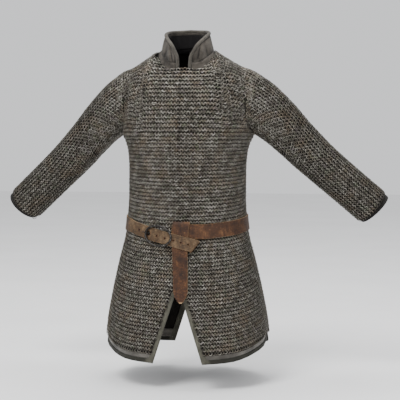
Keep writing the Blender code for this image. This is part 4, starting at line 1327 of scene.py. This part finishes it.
def build_hems(cloth_paint, binding_paint):
    cloth_top, cloth_low, bind_in, bind_out = hem_edges()
    for back, side in ((False, "front"), (True, "back")):
        low = [(p, h - 0.002) for p, h in cloth_low]
        low[0] = (low[0][0] - HEM_CORNER_LAP, low[0][1])
        high = [(cloth_top[0][0] - HEM_CORNER_LAP, cloth_top[0][1])] + cloth_top[1:]
        cloth, cloth_normal = sheet_between(low, high, 4, back)
        band, band_normal = sheet_between(bind_out, bind_in, 4, back)
        pieces = (("hem_cloth", cloth, cloth_normal, UNDER_TOP + 0.0008, 0.0018, cloth_paint,
                   "hem_cloth"),
                  ("hem_binding", band, band_normal, UNDER_TOP - 0.0002, CLOTH_WALL + 0.0008, binding_paint,
                   "binding"))
        for kind, grid, normal, near, wall, paint, slot in pieces:
            grid = refine(grid, 1, 6)
            normal = refine(normal, 1, 6)
            rows, columns = grid.shape[:2]
            run = np.arange(columns)
            swell = 0.0005 * np.sin(run * 0.55) + 0.0004 * np.sin(run * 0.23 + 1.0)
            shape = np.sin(np.linspace(0, math.pi, rows))
            grid = grid + normal * (shape[:, None] * (0.0005 + swell[None, :]))[..., None]
            faces = grid_faces(rows, columns)
            for hand in ("left", "right"):
                points = grid.reshape(-1, 3)
                directions = normal.reshape(-1, 3)
                if hand == "right":
                    points = mirror(points)
                    directions = mirror(directions)
                name = kind + "_" + side + "_" + hand
                thing = wall_object("cloth_" + name, points, directions, faces, near, near + wall, paint)
                if kind == "hem_binding":
                    shade_hem_binding(thing)
                show(thing, slot, name)


def build_cuffs(material, sleeve):
    grid, normal = sleeve
    axis = grid[-1].mean(axis=0) - grid[-2].mean(axis=0)
    axis = axis / np.linalg.norm(axis)
    count = grid.shape[1]
    reach = np.array([0.0065 + 0.0035 * math.cos(2 * math.pi * i / count) for i in range(count)])
    ends = [grid[-1] - axis * 0.012, grid[-1] + axis * reach[:, None]]
    rows = np.array([ends[0] * (1 - m) + ends[1] * m for m in np.linspace(0, 1, 7)])
    outward = rows - rows.mean(axis=1)[:, None, :]
    outward = outward - (outward @ axis)[:, :, None] * axis
    outward = outward / np.linalg.norm(outward, axis=2)[:, :, None]
    faces = grid_faces(len(rows), count, closed=True)
    near = MAIL_WALL + 0.0007
    for hand in ("left", "right"):
        points = rows.reshape(-1, 3)
        directions = outward.reshape(-1, 3)
        if hand == "right":
            points = mirror(points)
            directions = mirror(directions)
        thing = wall_object("cloth_cuff_" + hand, points, directions, faces, near, near + CLOTH_WALL, material)
        show(thing, "cuff_cloth", "cuff_" + hand)


# Folds of the padded collar: angle from the front, lean, width, middle, length, depth
COLLAR_FOLDS = (
    (36.0, 16.0, 3.2, 0.55, 0.40, -0.0016), (44.0, 10.0, 4.5, 0.45, 0.50, 0.0013),
    (57.0, -8.0, 4.0, 0.35, 0.35, -0.0013), (75.0, 6.0, 6.0, 0.50, 0.50, 0.0010),
    (100.0, 4.0, 5.0, 0.60, 0.30, -0.0012), (128.0, -10.0, 7.0, 0.40, 0.40, -0.0012),
    (152.0, 8.0, 6.0, 0.55, 0.45, 0.0010), (-31.0, -14.0, 2.6, 0.50, 0.55, -0.0019),
    (-38.0, -12.0, 3.0, 0.45, 0.55, 0.0014), (-50.0, 9.0, 4.0, 0.30, 0.30, -0.0015),
    (-68.0, -5.0, 5.0, 0.55, 0.40, 0.0010), (-95.0, 6.0, 5.0, 0.45, 0.40, -0.0012),
    (-120.0, -4.0, 7.0, 0.60, 0.30, 0.0010), (-146.0, 9.0, 5.0, 0.40, 0.40, -0.0014),
    (178.0, 3.0, 5.0, 0.50, 0.60, -0.0010),
)


def mark_inside(thing, rows=1, band=0):
    """Mark the inner half of a wall's points for the near-black painted shade inside, but for a band at its top."""
    count = len(thing.data.vertices)
    inside = (np.arange(count) >= count // 2).astype(float)
    if band:
        columns = count // 2 // rows
        inside[count - band * columns:] = 0.0
    thing.data.attributes.new("inside", "FLOAT", "POINT").data.foreach_set("value", inside)


def build_collar(stand_paint, roll_paint):
    first = COLLAR_OPEN_ANGLE - 1.2
    angles = [first + (180.0 - first) * (i / 60.0) ** 1.15 for i in range(61)]
    rows = []
    count = 22
    for i in range(count):
        row = []
        for angle in angles:
            base = float(smooth(COLLAR_BASE, BASE_COLUMNS, "angle", "height", angle))
            top = roll_height(angle)
            slope = (roll_height(angle + 1.5) - roll_height(angle - 1.5)) / (math.radians(3.0) * 0.066)
            top = top - ROLL_RADIUS * 0.75 * math.hypot(1.0, slope)
            row.append(collar_point(angle, base + (top - base) * i / (count - 1)))
        rows.append(row)
    grid = both_sides(rows)
    normal = sheet_normals(grid)
    signed = np.concatenate([angles, [-angle for angle in angles[-2::-1]]])[None, :]
    across = np.linspace(0, 1, count)[:, None]
    puff = 0.0008 * np.sin(across * math.pi) ** 0.6 * (0.7 + 0.3 * np.sin(signed * 0.13))
    for angle, lean, width, middle, length, depth in COLLAR_FOLDS:
        line = (signed - angle - lean * (across - 0.5)) / width
        puff = puff + 1.7 * depth * np.exp(-line**2) * np.exp(-((across - middle) / length) ** 2)
    dips = np.clip(-puff / 0.0022, 0.0, 0.75)
    to_roll = (1 - across) * 0.045
    to_front = (np.abs(signed) - COLLAR_OPEN_ANGLE) * 0.0012
    groove = 0.0016 * np.exp(-(np.minimum(to_roll, to_front) / 0.0032) ** 2)
    # Painted shade: darker in the dips of the folds, in the groove along the roll, and along the collar's foot.
    painted_shade = np.clip(dips + groove / 0.0020 + 0.6 * np.exp(-(across / 0.05) ** 2), 0.0, 0.92)
    grid = grid + normal * (puff - groove)[..., None]
    faces = grid_faces(*grid.shape[:2])
    thing = wall_object("cloth_collar_stand", grid.reshape(-1, 3), normal.reshape(-1, 3), faces, 0.0,
                        COLLAR_WALL, stand_paint)
    mark_inside(thing, count, 3)
    painted_shade = np.concatenate([np.broadcast_to(painted_shade, grid.shape[:2]).ravel(), np.zeros(grid.shape[0] * grid.shape[1])])
    thing.data.attributes.new("painted_shade", "FLOAT", "POINT").data.foreach_set("value", painted_shade)
    show(thing, "padded_cloth", "collar_stand")
    marks = np.concatenate([[13.6, 13.8, 14.4], np.linspace(16.0, 180.0, 70)])
    half = []
    for angle in marks:
        point = collar_point(angle, roll_height(angle))
        away = np.array([point[0], point[1], 0.0])
        half.append(point - away / np.linalg.norm(away) * COLLAR_WALL / 2)
    half = np.array(half)
    path = np.concatenate([half, mirror(half[-2::-1])])
    away = path * [1, 1, 0]
    points, faces = tube(path, ROLL_RADIUS * 1.12, sides=16, out=away)
    thing = make_object("cloth_collar_roll", points, faces, roll_paint)
    show(thing, "padded_cloth", "collar_roll")


def build_yoke(material, made):
    """Cloth between the collar seam and the mail, lapped under the mail's neckline."""
    neck_columns = int(round(NECK_SHARE * SIDE_STEPS))
    step = 90.0 / neck_columns
    rows = [[], [], []]
    marks = [(YOKE_OPEN_ANGLE - 1.2) / step] + [float(j) for j in range(4, 2 * neck_columns + 1)]
    for mark in marks:
        back = mark > neck_columns
        grid, normal = made["back" if back else "front"]
        column_at = 2 * neck_columns - mark if back else mark
        j = int(column_at)
        mix = column_at - j
        edge = grid[-1, j] * (1 - mix) + grid[-1, j + 1] * mix
        below = grid[-2, j] * (1 - mix) + grid[-2, j + 1] * mix
        up = normal[-1, j] * (1 - mix) + normal[-1, j + 1] * mix
        up = up / np.linalg.norm(up)
        up_below = normal[-2, j] * (1 - mix) + normal[-2, j + 1] * mix
        lap = YOKE_LAP / np.linalg.norm(below - edge)
        under = edge + (below - edge) * lap
        up_under = up * (1 - lap) + up_below * lap
        angle = mark * step
        seam = float(smooth(COLLAR_BASE, BASE_COLUMNS, "angle", "height", angle))
        deep = UNDER_TOP + 0.0026 * math.exp(-((mark - neck_columns) / 2.8) ** 2)
        rows[0].append(under - up_under * deep)
        rows[1].append(edge - up * deep)
        rows[2].append(collar_point(angle, seam + 0.0004))
    grid = refine(both_sides(rows), 3, 2)
    normal = sheet_normals(grid)
    faces = grid_faces(*grid.shape[:2])
    thing = wall_object("cloth_neck_yoke", grid.reshape(-1, 3), normal.reshape(-1, 3), faces, 0.0,
                        CLOTH_WALL, material)
    mark_inside(thing)
    show(thing, "padded_cloth", "neck_yoke")


def rounded_ribbon(rows, thickness):
    """Closed strap with eased edges, and the share of cut edge at each of its points."""
    rows = np.array(rows)
    first = rows[:, :1] + (rows[:, 1:2] - rows[:, :1]) * 0.09
    last = rows[:, -1:] + (rows[:, -2:-1] - rows[:, -1:]) * 0.09
    rows = np.concatenate([rows[:, :1], first, rows[:, 1:-1], last, rows[:, -1:]], axis=1)
    weight = np.ones(rows.shape[1])
    weight[[0, -1]] = 0.42
    step = np.gradient(rows.mean(axis=1), axis=0)[:, None, :]
    across = np.gradient(rows, axis=1)
    normal = np.cross(step, across)
    normal = normal / np.linalg.norm(normal, axis=2)[:, :, None]
    push = normal * thickness / 2 * weight[None, :, None]
    faces = grid_faces(*rows.shape[:2])
    points, solid = thicken((rows + push).reshape(-1, 3), (rows - push).reshape(-1, 3), faces)
    cut = np.zeros(rows.shape[:2])
    cut[:, [0, -1]] = 1.0
    cut[[0, -1], :] = 1.0
    return points, solid, np.concatenate([cut.ravel(), cut.ravel()])


def build_belt(material):
    points, faces, cut = rounded_ribbon(belt_rows(), LEATHER)
    belt = make_object("leather_belt", points, faces, material)
    rows = len(cut) // 2 // (STRAP_STEPS + 3)
    ends = len(finer(END_RUN, 3))
    marks = [0, WAIST_STEPS - 30, WAIST_STEPS, WAIST_STEPS + ends, WAIST_STEPS + ends + 10, rows]
    tan = np.interp(np.arange(rows), marks, [0.15, 0.35, 0.95, 0.95, 0.25, 0.10])
    tan = np.tile(np.repeat(tan, STRAP_STEPS + 3), 2)
    for name_of, values in (("cut_edge", cut), ("tan", tan)):
        belt.data.attributes.new(name_of, "FLOAT", "POINT").data.foreach_set("value", values)
    all_points = []
    all_faces = []
    offset = 0
    for x in HOLE_XS + (TONGUE_HOLE_X,):
        height = HOLE_LINE_Z + HOLE_LINE_SLOPE * (x - TONGUE_HOLE_X)
        layer = end_layer(x) + LEATHER / 2
        spare = 0.0016 if x < -0.03 else 0.0005
        inner = on_front(x, height, layer - LEATHER / 2 - spare)
        outer = on_front(x, height, layer + LEATHER / 2 + spare)
        radius = 0.0062 if x == TONGUE_HOLE_X else HOLE_RADIUS
        points, faces = tube([inner, outer], radius, sides=20, out=[(0, 0, 1.0)] * 2)
        all_points.append(points)
        all_faces += [tuple(i + offset for i in face) for face in faces]
        offset += len(points)
    cutter = make_object("cutter", np.vstack(all_points), all_faces, material)
    change = belt.modifiers.new("holes", "BOOLEAN")
    change.operation = "DIFFERENCE"
    change.object = cutter
    seen = bpy.context.evaluated_depsgraph_get()
    mesh = bpy.data.meshes.new_from_object(belt.evaluated_get(seen))
    belt.modifiers.clear()
    belt.data = mesh
    bpy.data.objects.remove(cutter)
    mesh.set_sharp_from_angle(angle=math.radians(38.0))
    show(belt, "leather", "belt_strap")


def build_buckle(material):
    tilt = math.radians(RING_TILT)
    path = []
    count = 96
    sides = 16
    for k in range(count):
        turn = 2 * math.pi * k / count
        u = RING_LONG * math.cos(turn)
        v = RING_SHORT * math.sin(turn)
        x = RING_CENTRE[0] + u * math.cos(tilt) + v * math.sin(tilt)
        z = RING_CENTRE[1] - u * math.sin(tilt) + v * math.cos(tilt)
        share = (math.cos(turn) + 1) / 2
        path.append(on_front(x, z, RING_LAYER_OUTER + (RING_LAYER_INNER - RING_LAYER_OUTER) * share))
    path = np.array(path)
    points = []
    face = on_front(RING_CENTRE[0], RING_CENTRE[1], 1.0) - on_front(RING_CENTRE[0], RING_CENTRE[1], 0.0)
    for i in range(count):
        step = path[(i + 1) % count] - path[i - 1]
        step = step / np.linalg.norm(step)
        side = np.cross(step, face)
        side = side / np.linalg.norm(side)
        up = np.cross(side, step)
        for k in range(sides):
            turn = 2 * math.pi * k / sides
            points.append(path[i] + WIRE_RADIUS * (side * math.cos(turn) + up * math.sin(turn)))
    faces = []
    for i in range(count):
        for k in range(sides):
            n = (k + 1) % sides
            j = (i + 1) % count
            faces.append((i * sides + k, i * sides + n, j * sides + n, j * sides + k))
    show(make_object("steel_ring", np.array(points), faces, material), "buckle_steel", "buckle_ring")
    path = []
    radii = []
    rows = finer(TONGUE, 4)
    for x, layer, radius in rows:
        height = HOLE_LINE_Z + HOLE_LINE_SLOPE * (x - TONGUE_HOLE_X)
        path.append(on_front(x, height, layer))
        radii.append(radius)
    points, faces = tube(path, np.array(radii), sides=16, out=[(0, 0, 1.0)] * len(path))
    show(make_object("steel_tongue", points, faces, material), "buckle_steel", "buckle_tongue")


def build_studio():
    floor_paint = Paint("studio_floor", roughness=0.9)
    floor_paint.colour(floor_paint.grey(floor_paint.noise(3.0), 0.80, 0.84))
    mesh = bpy.data.meshes.new("studio_floor")
    mesh.from_pydata([(-9, -9, -0.90), (9, -9, -0.90), (9, 9, -0.90), (-9, 9, -0.90)], [], [(0, 1, 2, 3)])
    mesh.materials.append(floor_paint.material)
    floor = bpy.data.objects.new("studio_floor", mesh)
    bpy.context.scene.collection.objects.link(floor)
    world = bpy.data.worlds.new("studio_light")
    world.use_nodes = True
    world.node_tree.nodes["Background"].inputs["Color"].default_value = (0.97, 0.98, 1.0, 1.0)
    world.node_tree.nodes["Background"].inputs["Strength"].default_value = 0.95
    bpy.context.scene.world = world
    lights = (("key", (-1.0, -2.4, 3.2), 1.8, 200.0), ("fill", (2.4, -3.0, 1.4), 2.5, 45.0),
              ("top", (0.3, 0.6, 3.2), 2.0, 95.0))
    for name, place, size, power in lights:
        lamp = bpy.data.lights.new(name, "AREA")
        lamp.size = size
        lamp.energy = power
        thing = bpy.data.objects.new(name, lamp)
        thing.location = place
        aim = mathutils.Vector((0.0, 0.0, -0.4)) - thing.location
        thing.rotation_euler = aim.to_track_quat("-Z", "Y").to_euler()
        bpy.context.scene.collection.objects.link(thing)


def build_camera():
    lens = bpy.data.cameras.new("camera")
    lens.sensor_width = 36.0
    lens.lens = 103.45
    lens.shift_x = -0.0019
    thing = bpy.data.objects.new("camera", lens)
    forward = mathutils.Vector((-0.16595, 0.98415, -0.06254)).normalized()
    right = mathutils.Vector((0.98608, 0.16628, 0.0)).normalized()
    up = right.cross(forward)
    turn = mathutils.Matrix((right, up, -forward)).transposed()
    thing.matrix_world = mathutils.Matrix.Translation((0.5598, -3.1050, -0.2073)) @ turn.to_4x4()
    bpy.context.scene.collection.objects.link(thing)
    bpy.context.scene.camera = thing


mail_paint = mail_material()
# Painted shade: the backing cloth is coloured near black for the shade seen between the rings.
backing_shade_paint = cloth_material("backing_shade_cloth", (0.006, 0.005, 0.004), (0.014, 0.012, 0.010), sheen=0.0)
stand_paint = cloth_material("collar_cloth", (0.024, 0.020, 0.016), (0.110, 0.096, 0.080),
                             sheen=0.10, inside_shade=(0.006, 0.005, 0.005))
roll_paint = cloth_material("roll_cloth", (0.034, 0.030, 0.024), (0.105, 0.094, 0.078), sheen=0.10)
hem_paint = cloth_material("hem_cloth", (0.052, 0.047, 0.040), (0.165, 0.152, 0.132))
binding_paint = cloth_material("binding_cloth", (0.050, 0.048, 0.036), (0.120, 0.115, 0.090),
                               sheen=0.06, inside_shade=(0.006, 0.005, 0.005))
cuff_paint = cloth_material("cuff_cloth", (0.004, 0.0035, 0.003), (0.011, 0.0095, 0.008), sheen=0.05)

made = build_backing(backing_shade_paint)
build_mail_rings(mail_paint)
build_sleeve_rings(mail_paint)
build_loose_ring(mail_paint, made["sleeve"])
build_hems(hem_paint, binding_paint)
build_cuffs(cuff_paint, made["sleeve"])
build_collar(stand_paint, roll_paint)
build_yoke(stand_paint, made)
build_belt(leather_material())
build_buckle(steel_material())
build_studio()
build_camera()
